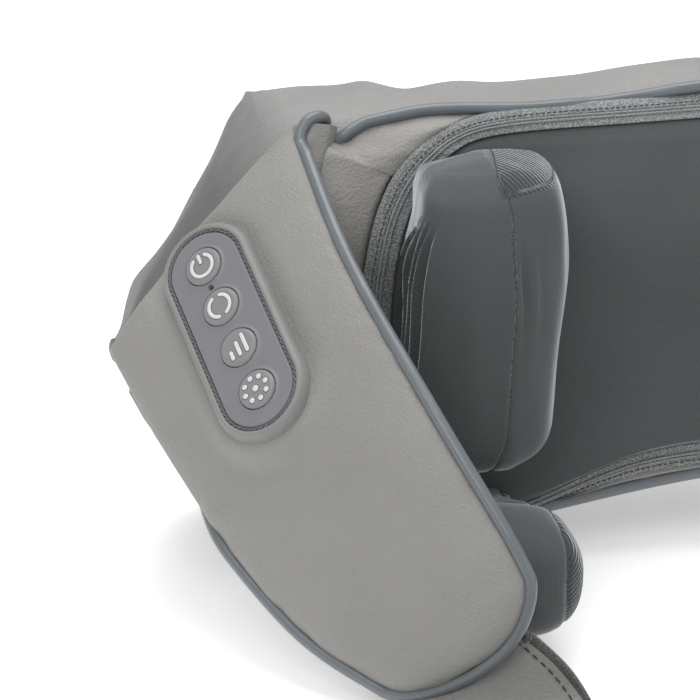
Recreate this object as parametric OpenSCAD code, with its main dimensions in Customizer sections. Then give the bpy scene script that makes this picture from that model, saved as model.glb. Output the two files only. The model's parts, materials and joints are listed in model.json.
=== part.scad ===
// Shiatsu neck massager: padded yoke with two kneading claws a side, a control pad on one wing
// and a hand strap on each wing tip. Millimetres, +Z up, +Y to the back, the floor is Z = 0.
// The left side (X < 0) is drawn, and the right side is its mirror image.

/* [Body] */
// Width of the body at its widest
body_w = 422; // [410:1:432]
// Height of the body at its middle
body_h = 161; // [158:1:164]
// Depth of the body, front to back
body_d = 76; // [75:1:79]
// Thickness of the leather and its foam
cover_t = 8; // [7:0.5:8]
// Wall of the rigid housing
wall = 2.5; // [2:0.1:3]

/* [Wings] */
// Height of a wing's crown over its piped edge
wing_crown = 8; // [6:0.5:9]
// Depth of a wing's padding under its piped edge
wing_pad = 13; // [11:0.5:14]
// Diameter of the piping
piping_d = 4.4; // [3:0.1:5]

/* [Claws] */
// Swing of the claws either way, in degrees
claw_swing = 4.2; // [3:0.1:4.2]
// Throw of the cams that swing the claws
cam_throw = 3.5; // [2.5:0.1:3.5]

/* [Gears] */
// Teeth of the worm wheel, with a single-start worm
wheel_teeth = 24; // [22:1:26]
// Free gap between worm and wheel
mesh_gap = 0.4; // [0.3:0.05:0.5]

/* [Control pad] */
// Diameter of a button
button_d = 14.4; // [13:0.1:15]
// Distance from button to button
button_pitch = 17.2; // [16.9:0.1:17.6]
// Travel of a button
button_travel = 0.8; // [0.5:0.1:0.9]

/* [Straps] */
// Width of a strap
strap_w = 58; // [50:1:60]
// Thickness of a strap
strap_t = 3; // [2.5:0.1:3.5]

/* [Hidden] */
$fn = 48;
soft_fn = 28;          // facets of soft, rounded forms
slip = 0.05;           // radial clearance of a turning fit
half_w = body_w / 2;
leather_grey = [0.56, 0.55, 0.53];
fabric_grey = [0.30, 0.32, 0.32];
piping_grey = [0.50, 0.53, 0.56];
plastic_black = [0.16, 0.16, 0.17];

// Front view of the body, right half, from the arch at the bottom to the top edge.
body_half = [[0, 22], [32, 20], [66, 8], [92, 0], [156, 0], [174, 14], [195, 52], [half_w, 80],
             [184, 112], [160, body_h - 5], [108, body_h - 6], [40, body_h - 2], [0, body_h]];
// Side view of the body, as [Y, Z]: the front leans back towards the top.
side_points = [[0, 4], [0, 108], [5, 126], [13, 143], [24, body_h - 6], [34, body_h], [46, body_h],
               [58, 153], [body_d - 9, 138], [body_d - 4, 112], [body_d, 70], [body_d, 16],
               [body_d - 12, 0], [6, 0]];
// Top view of the body, right half.
plan_half = [[half_w, -1], [half_w, 14], [half_w - 5, 46], [half_w - 14, 64], [half_w - 28, body_d]];
front_t = 4;           // thickness of the front cloth and leather
front_top = 154;       // height at which the front layer ends

// Edges of the left wing, from the crease at the body to the tip.
wing_in = [[-146, 20, 151], [-138, -36, 122], [-120, -84, 88], [-101, -112, 56], [-96, -121, 37]];
wing_out = [[-half_w, 0, 83], [-198, -26, 61], [-181, -56, 37], [-160, -86, 17], [-138, -108, 7]];
wing_gap = 2.5;        // free gap between a wing and the body, for the wing to flex
wing_rows = 14;        // rows along a wing
wing_ring = 20;        // points round a wing's section
tip_rows = 4;          // rows in the round tip
tip_reach = 13;        // how far the tip stands past the last row

// Mechanism: drive shaft and claw pivots run along X, at these [Y, Z].
drive_yz = [30, 79];
upper_pivot_yz = [30, 126];
lower_pivot_yz = [30, 32];
shaft_r = 4;
x_wheel = -128;
x_cam_upper = -76;
x_cam_lower = -92;
lever_t = 6;
cam_r = 6;
cam_sweep = cam_r + cam_throw;
lever_length = drive_yz[1] - lower_pivot_yz[1];
window_half = cam_sweep + lever_length * sin(claw_swing) + 0.3;
wheel_r = 14.3;
worm_r = 4.2;
tooth_wave = 0.9;
worm_pitch = 2 * PI * wheel_r / wheel_teeth;
worm_turns = 5;
worm_y = drive_yz[0] + wheel_r + worm_r + mesh_gap;
motor_top = 60;
motor_r = 14;

// Claw window through the front of the body.
window_x = [-116, -63];
window_z = [11, 147];

// Control pad: middle of its seat, and its long axis and outward normal.
pad_at = [-176, -26.6, 99.5];
pad_long = [-0.235, 0.807, 0.543];
pad_out = [-0.59, -0.52, 0.60];
pad_w = 26;
pad_l = 77;
button_names = ["power", "mode", "strength", "heat"];

// Strap: where it is sewn on, where it flexes on the floor, and its loop.
strap_x = -115;
strap_turn = 8;        // degrees that a strap leans towards the middle
strap_flex_y = -134;
loop_from = -250;
loop_to = -336;
loop_h = 30;
strap_far = strap_flex_y - (strap_flex_y - loop_to + strap_t / 2) * cos(strap_turn)
  - strap_w / 2 * sin(strap_turn);
centre_shift = -(strap_far + body_d) / 2;

SIDES = ["l", "r"];

// ---- helpers ----

module side(s) {
  if (s == "l") children();
  else mirror([1, 0, 0]) children();
}

// Draws its 2D child, seen from the front as [X, Z], from Y = y0 to Y = y1.
module along_y(y0, y1) {
  translate([0, y1, 0]) rotate([90, 0, 0]) linear_extrude(y1 - y0) children();
}

// Draws its 2D child, seen from the side as [Y, Z], from X = x0 to X = x1.
module along_x(x0, x1) {
  translate([x0, 0, 0]) rotate([90, 0, 90]) linear_extrude(x1 - x0) children();
}

module rod_x(x0, x1, yz, r) {
  translate([x0, yz[0], yz[1]]) rotate([0, 90, 0]) cylinder(h = x1 - x0, r = r);
}

module rod_y(y0, y1, x, z, r) {
  translate([x, y1, z]) rotate([90, 0, 0]) cylinder(h = y1 - y0, r = r);
}

module block(low, high) {
  translate(low) cube(high - low);
}

module stadium(l, w, h) {
  for (s = [-1, 1]) translate([0, s * (l - w) / 2, 0]) cylinder(h = h, d = w);
  translate([-w / 2, -(l - w) / 2, 0]) cube([w, l - w, h]);
}

module body_outline(inset) {
  mirrored = [for (i = [len(body_half) - 1 : -1 : 0]) [-body_half[i][0], body_half[i][1]]];
  offset(r = -inset, $fn = soft_fn) offset(r = 12, $fn = soft_fn) offset(delta = -12)
    polygon(concat(body_half, mirrored));
}

module body_plan(inset) {
  mirrored = [for (i = [len(plan_half) - 1 : -1 : 0]) [-plan_half[i][0], plan_half[i][1]]];
  translate([0, 0, -1]) linear_extrude(body_h + 2) offset(delta = -inset)
    polygon(concat([[half_w, -20]], plan_half, mirrored, [[-half_w, -20]]));
}

// A prism across the body whose side view is the body's, drawn in by inset.
module body_side(inset) {
  along_x(-half_w - 5, half_w + 5) offset(r = -inset, $fn = soft_fn) polygon(side_points);
}

module body_form(inset) {
  intersection() {
    along_y(-1, body_d + 1) body_outline(inset);
    body_side(inset);
    body_plan(inset);
  }
}

// The layer of the front between y0 and y1 behind its surface, up to its top edge.
module front_layer(y0, y1) {
  along_x(-half_w - 5, half_w + 5) intersection() {
    difference() {
      translate([y0, 0]) polygon(side_points);
      translate([y1, 0]) polygon(side_points);
    }
    translate([-20, -5]) square([60, front_top + 5]);
  }
}

// The zipped front of cloth: a panel with wide round upper corners.
zip_half = 122;
zip_round = 44;
foot_round = 16;
module fabric_outline(grow) {
  offset(r = grow, $fn = soft_fn) intersection() {
    body_outline(6);
    offset(r = zip_round, $fn = 40) translate([zip_round - zip_half, -60])
      square([2 * (zip_half - zip_round), 60 + 152 - zip_round]);
    offset(r = foot_round, $fn = 40) translate([foot_round - zip_half, 6 + foot_round])
      square([2 * (zip_half - foot_round), 200]);
  }
}

module claw_windows() {
  for (s = [-1, 1]) scale([s, 1]) translate([window_x[0], window_z[0]])
    square([window_x[1] - window_x[0], window_z[1] - window_z[0]]);
}

// ---- cover ----

charge_y = 48;
module charge_slot(grow) {
  translate([0, charge_y, 16]) linear_extrude(24) offset(r = 3 + grow) square([11, 5], center = true);
}

module back_cover() {
  color(leather_grey) difference() {
    body_form(0);
    front_layer(-1, front_t);
    intersection() {
      along_y(-1, body_d) body_outline(cover_t);
      along_x(-half_w, half_w) offset(r = -cover_t, $fn = soft_fn) union() {
        polygon(side_points);
        translate([-20, 0]) polygon(side_points);
      }
      body_plan(cover_t);
    }
    charge_slot(0.1);
  }
}

module leather_gusset() {
  color(leather_grey) intersection() {
    along_y(-1, 60) difference() { body_outline(0); fabric_outline(0); }
    front_layer(0, front_t);
  }
}

module fabric_panel() {
  color(fabric_grey) intersection() {
    along_y(-1, 60) difference() {
      fabric_outline(0);
      claw_windows();
    }
    front_layer(0, front_t);
  }
}

module zipper_tape() {
  color(fabric_grey) intersection() {
    along_y(-4, 60) difference() {
      fabric_outline(3);
      fabric_outline(-3);
    }
    front_layer(-3, 0);
  }
}

// The slider rests low on the right-hand run of the zip, which is straight there.
slider_z = 40;
slider_ear_y = -9.5;
module zipper_slider() {
  color("dimgray") {
    block([zip_half - 5, -8, slider_z - 6], [zip_half + 5, -3.1, slider_z + 6]);
    for (x = [zip_half - 4, zip_half + 2.5]) difference() {
      block([x, -11, slider_z], [x + 1.5, -7, slider_z + 4]);
      rod_x(x - 1, x + 3, [slider_ear_y, slider_z + 2], 1 + slip);
    }
  }
}

module zipper_pull() {
  color("dimgray") {
    rod_x(zip_half - 4.2, zip_half + 4.2, [slider_ear_y, slider_z + 2], 1);
    difference() {
      block([zip_half - 2, slider_ear_y - 0.8, slider_z - 22],
            [zip_half + 2, slider_ear_y + 0.8, slider_z + 2]);
      rod_y(slider_ear_y - 2, slider_ear_y + 2, zip_half, slider_z - 18.5, 1.1);
    }
  }
}

// The piping stops where the wings leave the body.
piping_end_x = 138;
piping_end_z = 55;
module piping_body() {
  color(piping_grey) intersection() {
    along_y(-1, 60) difference() { body_outline(-piping_d / 2); body_outline(0); }
    along_x(-half_w - 5, half_w + 5) difference() {
      offset(delta = piping_d / 2) polygon(side_points);
      translate([piping_d, 0]) offset(delta = piping_d / 2) polygon(side_points);
    }
    difference() {
      block([-body_w, -50, 0], [body_w, 50, body_h + 10]);
      for (x = [-body_w, piping_end_x])
        block([x, -60, piping_end_z], [x + body_w - piping_end_x, 60, body_h + 20]);
    }
  }
}

// ---- wings ----

function blend4(a, b, c, d, t) =
  0.5 * (2 * b + (c - a) * t + (2 * a - 5 * b + 4 * c - d) * t * t + (3 * b - a - 3 * c + d) * t * t * t);
function curve_at(p, u) =
  let (n = len(p) - 1, i = min(floor(u * n), n - 1), t = u * n - i)
  blend4(p[max(i - 1, 0)], p[i], p[i + 1], p[min(i + 2, n)], t);
function unit(v) = v / norm(v);
function wing_mid(u) = (curve_at(wing_in, u) + curve_at(wing_out, u)) / 2;
function wing_run(u) = let (v = min(max(u, 0.02), 0.98)) unit(wing_mid(v + 0.02) - wing_mid(v - 0.02));
function wing_across(u) = unit(curve_at(wing_in, u) - curve_at(wing_out, u));
function wing_normal(u) = unit(cross(wing_run(u), wing_across(u)));
function wing_half(u) = norm(curve_at(wing_in, u) - curve_at(wing_out, u)) / 2;
function bow(v, power) = sign(v) * pow(abs(v), power);

// One closed ring of a wing's section: u runs along the wing, slim narrows it at the round tip.
function wing_section(u, slim, reach) = [for (k = [0 : wing_ring - 1])
  let (a = 360 * k / wing_ring, up = bow(sin(a), 0.9))
  wing_mid(u) + wing_run(u) * reach + wing_across(u) * wing_half(u) * slim * bow(cos(a), 0.75)
  + wing_normal(u) * up * (up > 0 ? wing_crown : wing_pad) * sqrt(slim)];

wing_sections = concat(
  [for (j = [0 : wing_rows]) wing_section(j / wing_rows, 1, 0)],
  [for (j = [1 : tip_rows]) let (a = 82 * j / tip_rows) wing_section(1, cos(a), tip_reach * sin(a))]);

module loft(sections) {
  n = len(sections[0]);
  m = len(sections);
  polyhedron(
    points = [for (s = sections) for (p = s) p],
    faces = concat(
      [[for (k = [n - 1 : -1 : 0]) k]],
      [[for (k = [0 : n - 1]) (m - 1) * n + k]],
      [for (j = [0 : m - 2]) for (k = [0 : n - 1])
        each [[j * n + k, j * n + (k + 1) % n, (j + 1) * n + (k + 1) % n],
              [j * n + k, (j + 1) * n + (k + 1) % n, (j + 1) * n + k]]]));
}

module on_pad() {
  z = unit(pad_out);
  y = unit(pad_long - (pad_long * z) * z);
  x = cross(y, z);
  multmatrix([[x[0], y[0], z[0], pad_at[0]], [x[1], y[1], z[1], pad_at[1]],
              [x[2], y[2], z[2], pad_at[2]], [0, 0, 0, 1]]) children();
}

tray_depth = 8;
module wing(s) {
  color(leather_grey) side(s) difference() {
    loft(wing_sections);
    body_form(-wing_gap);
    if (s == "l") on_pad() {
      translate([0, 0, -tray_depth]) stadium(pad_l - 4, pad_w - 4, 40);
      translate([0, 0, -0.1]) stadium(pad_l + 0.4, pad_w + 0.4, 30);
    }
  }
}

// The edge of a wing, down one side, round the tip and up the other.
edge_rows = 12;
cap_rows = 7;
wing_edge = concat(
  [for (j = [0 : edge_rows - 1]) curve_at(wing_in, 0.06 + 0.94 * j / edge_rows)],
  [for (j = [0 : cap_rows]) let (a = 180 * j / cap_rows)
    wing_mid(1) + wing_across(1) * wing_half(1) * cos(a) + wing_run(1) * tip_reach * sin(a)],
  [for (j = [edge_rows - 1 : -1 : 0]) curve_at(wing_out, 0.06 + 0.94 * j / edge_rows)]);

function tube_rings(path, r, sides) = [for (i = [0 : len(path) - 1])
  let (t = unit(path[min(i + 1, len(path) - 1)] - path[max(i - 1, 0)]),
       a = unit(cross(t, [0.54, 0.45, -0.71])), b = cross(t, a))
  [for (k = [0 : sides - 1]) path[i] + r * (a * cos(360 * k / sides) + b * sin(360 * k / sides))]];

module piping_wing(s) {
  color(piping_grey) side(s) difference() {
    loft(tube_rings(wing_edge, piping_d / 2, 8));
    body_form(-wing_gap);
  }
}

// ---- rigid housing ----

split_y = 34;          // joint plane of the two housing halves
boss_at = [[-176, 66], [-158, 30], [-50, 40], [-50, 118], [50, 40], [50, 118], [158, 30], [176, 66]];
housing_inset = cover_t + 1;
back_y = body_d - housing_inset;

module back_shell() {
  color(plastic_black) {
    difference() {
      body_form(housing_inset);
      body_form(housing_inset + wall);
      along_y(-1, split_y) square([3 * body_w, 3 * body_w], center = true);
      for (b = boss_at) rod_y(back_y - 9, body_d, b[0], b[1], 3.8);
      charge_slot(0.1);
    }
    intersection() {
      body_form(housing_inset);
      for (b = boss_at) difference() {
        rod_y(split_y, back_y - 1, b[0], b[1], 5);
        rod_y(split_y - 1, back_y, b[0], b[1], 1.6);
        rod_y(back_y - 9, back_y, b[0], b[1], 3.8);
      }
    }
  }
}

pcb_y = 20;
pcb_posts = [[-32, 56], [-32, 108], [32, 56], [32, 108]];
module front_frame() {
  color(plastic_black) {
    difference() {
      body_form(housing_inset);
      body_form(housing_inset + wall);
      along_y(split_y, body_d + 1) square([3 * body_w, 3 * body_w], center = true);
      along_y(0, 31) claw_windows();
    }
    intersection() {
      body_form(housing_inset);
      for (b = boss_at) difference() {
        rod_y(0, split_y, b[0], b[1], 5);
        rod_y(16, split_y + 1, b[0], b[1], 1.25);
      }
    }
    for (b = pcb_posts) {
      rod_y(housing_inset + 1, pcb_y, b[0], b[1], 3);
      rod_y(pcb_y - 1, pcb_y + 3, b[0], b[1], 1.5);
    }
  }
}

module housing_screws() {
  color("silver") for (b = boss_at) {
    rod_y(back_y - 9, back_y - 6.8, b[0], b[1], 3.2);
    rod_y(18, back_y - 9, b[0], b[1], 1.25);
    difference() {
      rod_y(back_y - 6.8, back_y - 6.2, b[0], b[1], 2.6);
      translate([b[0] - 2, back_y - 7, b[1] - 0.4]) cube([4, 2, 0.8]);
    }
  }
}

cell_r = 9.1;
cell_l = 65;
cell_z = [72, 92];
cell_y = 50;
module battery_cells() {
  for (z = cell_z) {
    color("steelblue") rod_x(-cell_l / 2, cell_l / 2, [cell_y, z], cell_r);
    color("silver") rod_x(cell_l / 2, cell_l / 2 + 1, [cell_y, z], 3);
  }
}

module battery_holder() {
  color(plastic_black) difference() {
    intersection() {
      block([-cell_l / 2 - 4, cell_y - 5, 59], [cell_l / 2 + 4, back_y, 105]);
      body_side(housing_inset + wall + slip);
    }
    for (z = cell_z) rod_x(-cell_l / 2 - 1.2, cell_l / 2 + 1.2, [cell_y, z], cell_r + 0.2);
  }
}

pcb_t = 1.6;
module main_pcb() {
  color("darkgreen") difference() {
    block([-36, pcb_y, 52], [36, pcb_y + pcb_t, 112]);
    for (b = pcb_posts) rod_y(pcb_y - 1, pcb_y + 3, b[0], b[1], 1.5 + slip);
  }
}

module pcb_parts() {
  color(plastic_black) {
    block([-8, pcb_y - 2.4, 76], [8, pcb_y, 92]);
    block([14, pcb_y - 3.2, 60], [24, pcb_y, 70]);
    block([-28, pcb_y - 5, 94], [-12, pcb_y, 100]);
    for (x = [-26, -16]) rod_y(13, pcb_y, x, 66, 3.2);
  }
}

module charge_socket() {
  color(plastic_black) difference() {
    translate([0, charge_y, 22.5]) linear_extrude(14) offset(r = 3) square([11, 5], center = true);
    translate([0, charge_y, 20]) linear_extrude(9.5) offset(r = 1.28) square([5.8, 0.04], center = true);
  }
  color("silver") block([-3.3, charge_y - 0.35, 24], [3.3, charge_y + 0.35, 29.6]);
}

// ---- drive ----

module ring_x(x0, x1, yz, outer, inner) {
  difference() {
    rod_x(x0, x1, yz, outer);
    rod_x(x0 - 1, x1 + 1, yz, inner);
  }
}

bracket_in = [-67, -62];
bracket_out = [-112, -107];
bush_r = 6;
module claw_bracket(s) {
  color(plastic_black) side(s) {
    for (x = [bracket_in, bracket_out]) difference() {
      along_x(x[0], x[1])
        polygon([[18, 22], [60, 22], [60, 112], [44, 136], [26, 136], [18, 118]]);
      rod_x(x[0] - 1, x[1] + 1, drive_yz, bush_r);
      for (p = [upper_pivot_yz, lower_pivot_yz]) rod_x(x[0] - 1, x[1] + 1, p, shaft_r);
    }
    block([bracket_out[1], 56, 30], [bracket_in[0], 60, 112]);
  }
}

module pivot_pins(s) {
  color("silver") side(s)
    for (p = [upper_pivot_yz, lower_pivot_yz]) rod_x(bracket_out[0], bracket_in[1], p, shaft_r);
}

case_x = [-142, -114];
case_y = [12, 61.5];
case_z = [motor_top, 97];
bush_x = [[-142, -139.5], [-116.5, -114], bracket_in];
module shaft_bushes(s) {
  color("peru") side(s)
    for (x = concat(bush_x, [bracket_out])) ring_x(x[0], x[1], drive_yz, bush_r, shaft_r + slip);
}

module gearbox_case() {
  difference() {
    block([case_x[0], case_y[0], case_z[0]], [case_x[1], case_y[1], case_z[1]]);
    block([case_x[0] + wall, case_y[0] + wall, case_z[0] + wall],
          [case_x[1] - wall, case_y[1] - wall, case_z[1] - wall]);
    rod_x(case_x[0] - 1, case_x[1] + 1, drive_yz, bush_r);
    translate([x_wheel, worm_y, case_z[0] - 1]) cylinder(h = 60, r = 1.6 + slip);
  }
}

module gearbox_base(s) {
  color("dimgray") side(s) intersection() {
    gearbox_case();
    block([case_x[0], 0, 0], [x_wheel, 80, 140]);
  }
}

module gearbox_lid(s) {
  color("gray") side(s) intersection() {
    gearbox_case();
    block([x_wheel, 0, 0], [case_x[1], 80, 140]);
  }
}

motor_low = 21;
module motor_can(s) {
  color("silver") side(s) translate([x_wheel, worm_y, 0]) difference() {
    translate([0, 0, motor_low]) cylinder(h = motor_top - motor_low, r = motor_r);
    translate([0, 0, motor_low + 2]) cylinder(h = motor_top - motor_low - 4, r = motor_r - 1.5);
    translate([0, 0, motor_low - 1]) cylinder(h = 60, r = 1.6 + slip);
  }
}

// A worm whose thread is a wave: an offset circle, twisted up its axis.
module worm_rotor(s) {
  length = worm_turns * worm_pitch;
  color("silver") side(s) translate([x_wheel, worm_y, 0]) {
    translate([0, 0, motor_low + 0.5]) cylinder(h = 96.5 - motor_low, r = 1.6);
    translate([0, 0, motor_low + 6]) cylinder(h = motor_top - motor_low - 12, r = motor_r - 3.5);
    translate([0, 0, drive_yz[1] - length / 2]) rotate([0, 0, -90 + 180 * worm_turns])
      linear_extrude(length, twist = -360 * worm_turns, slices = 8 * worm_turns, $fn = 12)
        translate([tooth_wave, 0]) circle(r = worm_r);
  }
}

wheel_steps = 6;       // points in one tooth's wave
module worm_wheel(s) {
  n = wheel_teeth * wheel_steps;
  color("ivory") side(s) difference() {
    along_x(x_wheel - 3, x_wheel + 3) translate(drive_yz)
      polygon([for (k = [0 : n - 1]) let (a = 360 * k / n)
        (wheel_r - tooth_wave * cos(wheel_teeth * a)) * [cos(a), sin(a)]]);
    rod_x(x_wheel - 4, x_wheel + 4, drive_yz, shaft_r);
  }
}

module drive_shaft(s) {
  color("silver") side(s) {
    rod_x(-141.8, -60, drive_yz, shaft_r);
    rod_x(x_cam_upper - 4, x_cam_upper + 4, drive_yz + [0, cam_throw], cam_r);
    rod_x(x_cam_lower - 4, x_cam_lower + 4, drive_yz - [0, cam_throw], cam_r);
  }
}

// ---- claws ----

rim = 4;               // material round a cam window
boss_r = 9;

// A flat lever seen from the side: pivot boss, a window that a cam turns in, and an arm.
module lever(x, pivot) {
  low = min(pivot[1], drive_yz[1]);
  tall = abs(pivot[1] - drive_yz[1]);
  module box(x_half, grow) {
    block([x - x_half, drive_yz[0] - window_half - grow, drive_yz[1] - cam_sweep - 2 - grow],
          [x + x_half, drive_yz[0] + window_half + grow, drive_yz[1] + cam_sweep + 2 + grow]);
  }
  difference() {
    union() {
      rod_x(x - lever_t / 2, x + lever_t / 2, pivot, boss_r);
      block([x - lever_t / 2, pivot[0] - 7, low], [x + lever_t / 2, pivot[0] + 7, low + tall]);
      box(lever_t / 2, rim);
      children();
    }
    rod_x(x - lever_t, x + lever_t, pivot, shaft_r + slip);
    box(lever_t, 0);
  }
}

upper_x = [-113, -68];
upper_z = [46, 150];
plate_y = [-12, -8];
module upper_spine() {
  x = x_cam_upper;
  block([x - lever_t / 2, plate_y[1] - 1, upper_pivot_yz[1] - 7],
        [x + lever_t / 2, upper_pivot_yz[0], upper_pivot_yz[1] + 7]);
  block([upper_x[0] + 13, plate_y[0], upper_z[0] + 8], [upper_x[1] - 5, plate_y[1], upper_z[1] - 8]);
}

module upper_claw_core(s) {
  color("gainsboro") side(s) lever(x_cam_upper, upper_pivot_yz) upper_spine();
}

// A soft block with round edges, from corner to corner.
module pillow(low, high, r) {
  hull() for (x = [low[0] + r, high[0] - r]) for (y = [low[1] + r, high[1] - r])
    for (z = [low[2] + r, high[2] - r]) translate([x, y, z]) sphere(r = r, $fn = 16);
}

module upper_claw_pad(s) {
  color(fabric_grey) side(s) difference() {
    pillow([upper_x[0], -44, upper_z[0]], [upper_x[1], -3, upper_z[1]], 9);
    upper_spine();
  }
}

lower_x = [-110, -72];
lower_z = [13, 53];
head_y = [-98, -62];
arm_z = [17, 23.5];
module lower_spine() {
  x = x_cam_lower;
  block([x - lever_t / 2, head_y[1] - 15, arm_z[0]], [x + lever_t / 2, 35, arm_z[1]]);
  block([x - lever_t, head_y[1] - 19, arm_z[0] + 1], [x + lever_t, head_y[1] - 14, lower_z[1] - 6]);
}

module lower_claw_core(s) {
  x = x_cam_lower;
  color("gainsboro") side(s) lever(x, lower_pivot_yz) {
    lower_spine();
    block([x - lever_t / 2, 19, arm_z[0] + 2], [x + lever_t / 2, 35, lower_pivot_yz[1]]);
  }
}

module lower_claw_pad(s) {
  color(fabric_grey) side(s) difference() {
    union() {
      pillow([lower_x[0], head_y[0], lower_z[0]], [lower_x[1], head_y[1], lower_z[1]], 10);
      hull() {
        pillow([lower_x[0], -20, 15.8], [lower_x[1] - 8, 3, 26.5], 5.3);
        pillow([lower_x[0] + 2, head_y[1] - 10, lower_z[0]],
               [lower_x[1] - 2, head_y[1] + 6, lower_z[1] - 8], 8);
      }
    }
    lower_spine();
  }
}

// ---- control pad ----

plate_h = 3;
tray_end = 31;         // the tray and its board are cut square here, where the body is close
body_clear = 1.2;      // and they keep this far from the body
button_pcb_z = -6;
function button_y(i) = (1.5 - i) * button_pitch;

module below_tray_end(end) {
  intersection() {
    children();
    block([-pad_w, -pad_l, -20], [pad_w, end, 10]);
  }
}

module control_tray() {
  color(plastic_black) difference() {
    on_pad() tray_shape();
    body_form(-body_clear);
  }
}

module tray_shape() {
  difference() {
    below_tray_end(tray_end) translate([0, 0, -tray_depth + 0.1])
      stadium(pad_l - 4.2, pad_w - 4.2, tray_depth - 0.1);
    below_tray_end(tray_end - 1.5) translate([0, 0, -tray_depth + 1.6])
      stadium(pad_l - 7.2, pad_w - 7.2, tray_depth);
    translate([0, button_y(0), -2.5]) cylinder(h = 4, d = button_d + 3);
  }
}

module button_pcb() {
  color("darkgreen") difference() {
    on_pad() below_tray_end(tray_end - 1.7) translate([0, 0, button_pcb_z])
      stadium(pad_l - 7.6, pad_w - 7.6, pcb_t);
    body_form(-body_clear);
  }
}

module tact_switches() {
  on_pad() for (i = [0 : 3]) translate([0, button_y(i), button_pcb_z + pcb_t]) {
    color("silver") translate([-2.6, -2.6, 0]) cube([5.2, 5.2, 1.4]);
    color(plastic_black) translate([0, 0, 1.4]) cylinder(h = 0.7, r = 1.7);
  }
}

module control_pad() {
  color(piping_grey) on_pad() difference() {
    union() {
      stadium(pad_l, pad_w, 2);
      translate([0, 0, 2]) stadium(pad_l - 3, pad_w - 3, plate_h - 2);
    }
    for (i = [0 : 3]) translate([0, button_y(i), -1]) cylinder(h = 9, d = button_d + 0.3);
    translate([-1, button_y(0.5), -1]) cylinder(h = 9, r = 1.1);
  }
}

module led_lens() {
  color("black") on_pad() translate([-1, button_y(0.5), 0.2]) cylinder(h = plate_h - 0.6, r = 1.1);
}

stem_z = -1.35;
lip_z = -0.7;
module button(i) {
  color(piping_grey) on_pad() translate([0, button_y(i), 0]) {
    translate([0, 0, lip_z]) cylinder(h = 0.6, d = button_d + 1.2);
    translate([0, 0, lip_z]) cylinder(h = plate_h + 1 - lip_z, d = button_d);
    translate([0, 0, stem_z]) cylinder(h = -stem_z, r = 2.4);
  }
}

// ---- straps ----

// Points at distance d beside a path of [Y, Z] points.
function beside(path, d) = [for (i = [0 : len(path) - 1])
  let (t = unit(path[min(i + 1, len(path) - 1)] - path[max(i - 1, 0)])) path[i] + d * [-t[1], t[0]]];

module along_strap() {
  translate([strap_x, strap_flex_y, 0]) rotate([0, 0, strap_turn]) translate([0, -strap_flex_y, 0])
    along_x(-strap_w / 2, strap_w / 2) children();
}

// The root is sewn in under the wing tip, turns level and comes down on to the floor.
mid_t = strap_t / 2;
flex_gap = 0.4;
flex_bevel = 1.9;      // the upper edge is cut back here, for the strap to fold up
strap_across = [cos(strap_turn), sin(strap_turn), 0];
strap_run = [sin(strap_turn), -cos(strap_turn), 0];
root_start = wing_mid(0.95) - wing_normal(0.95) * 7;
root_end = [strap_x, strap_flex_y, mid_t] - strap_run * flex_gap;
root_rows = 10;
function ease(t) = t * t * (3 - 2 * t);
function root_side(u) = unit(wing_across(0.95) * (1 - ease(u)) + strap_across * ease(u));
function root_at(u) = let (low = mid_t + strap_w / 2 * abs(root_side(u)[2]))
  [root_start[0] + (root_end[0] - root_start[0]) * ease(u),
   root_start[1] + (root_end[1] - root_start[1]) * u,
   max(root_start[2] + (root_end[2] - root_start[2]) * ease(min(1.1 * u, 1)), low + 3 * u * (1 - u))];
root_sections = [for (j = [0 : root_rows])
  let (u = j / root_rows, v = min(u, 0.95), a = root_side(u),
       t = j == root_rows ? strap_run : unit(root_at(v + 0.05) - root_at(v)),
       n = unit(cross(t, a)), w = a * strap_w / 2, h = n * mid_t)
  [root_at(u) + w + h, root_at(u) - w + h, root_at(u) - w - h, root_at(u) + w - h]];
module strap_anchor(s) {
  color(leather_grey) side(s) loft(root_sections);
}

// The end is folded back into a hand loop and sewn down.
loop_r = (loop_h - strap_t) / 2;
sewn_z = mid_t + strap_t - 0.5;
loop_path = concat(
  [[loop_to + loop_r, mid_t]],
  [for (a = [15 : 15 : 165]) [loop_to + loop_r - loop_r * sin(a), mid_t + loop_r * (1 - cos(a))]],
  [for (t = [0 : 0.125 : 1]) [loop_to + loop_r + t * (loop_from - loop_to - loop_r),
    sewn_z + (mid_t + 2 * loop_r - sewn_z) * (1 - t * t)]],
  [[loop_from + 24, sewn_z]]);
loop_in = [for (p = beside(loop_path, -mid_t)) if (p[1] > strap_t + 0.2) p];
strap_start = strap_flex_y - flex_gap;
module strap(s) {
  color(leather_grey) side(s) along_strap() difference() {
    polygon(concat([[strap_start - flex_bevel, strap_t], [strap_start, strap_t / 3], [strap_start, 0]],
                   beside(loop_path, mid_t),
                   [[loop_from + 24, strap_t]]));
    polygon(concat([[loop_in[0][0], strap_t]], loop_in, [[loop_in[len(loop_in) - 1][0] + 3, strap_t]]));
  }
}

// ---- nodes ----

// Moves the drawing so that the middle of its length is over the origin.
module placed() {
  translate([0, centre_shift, 0]) children();
}

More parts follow.
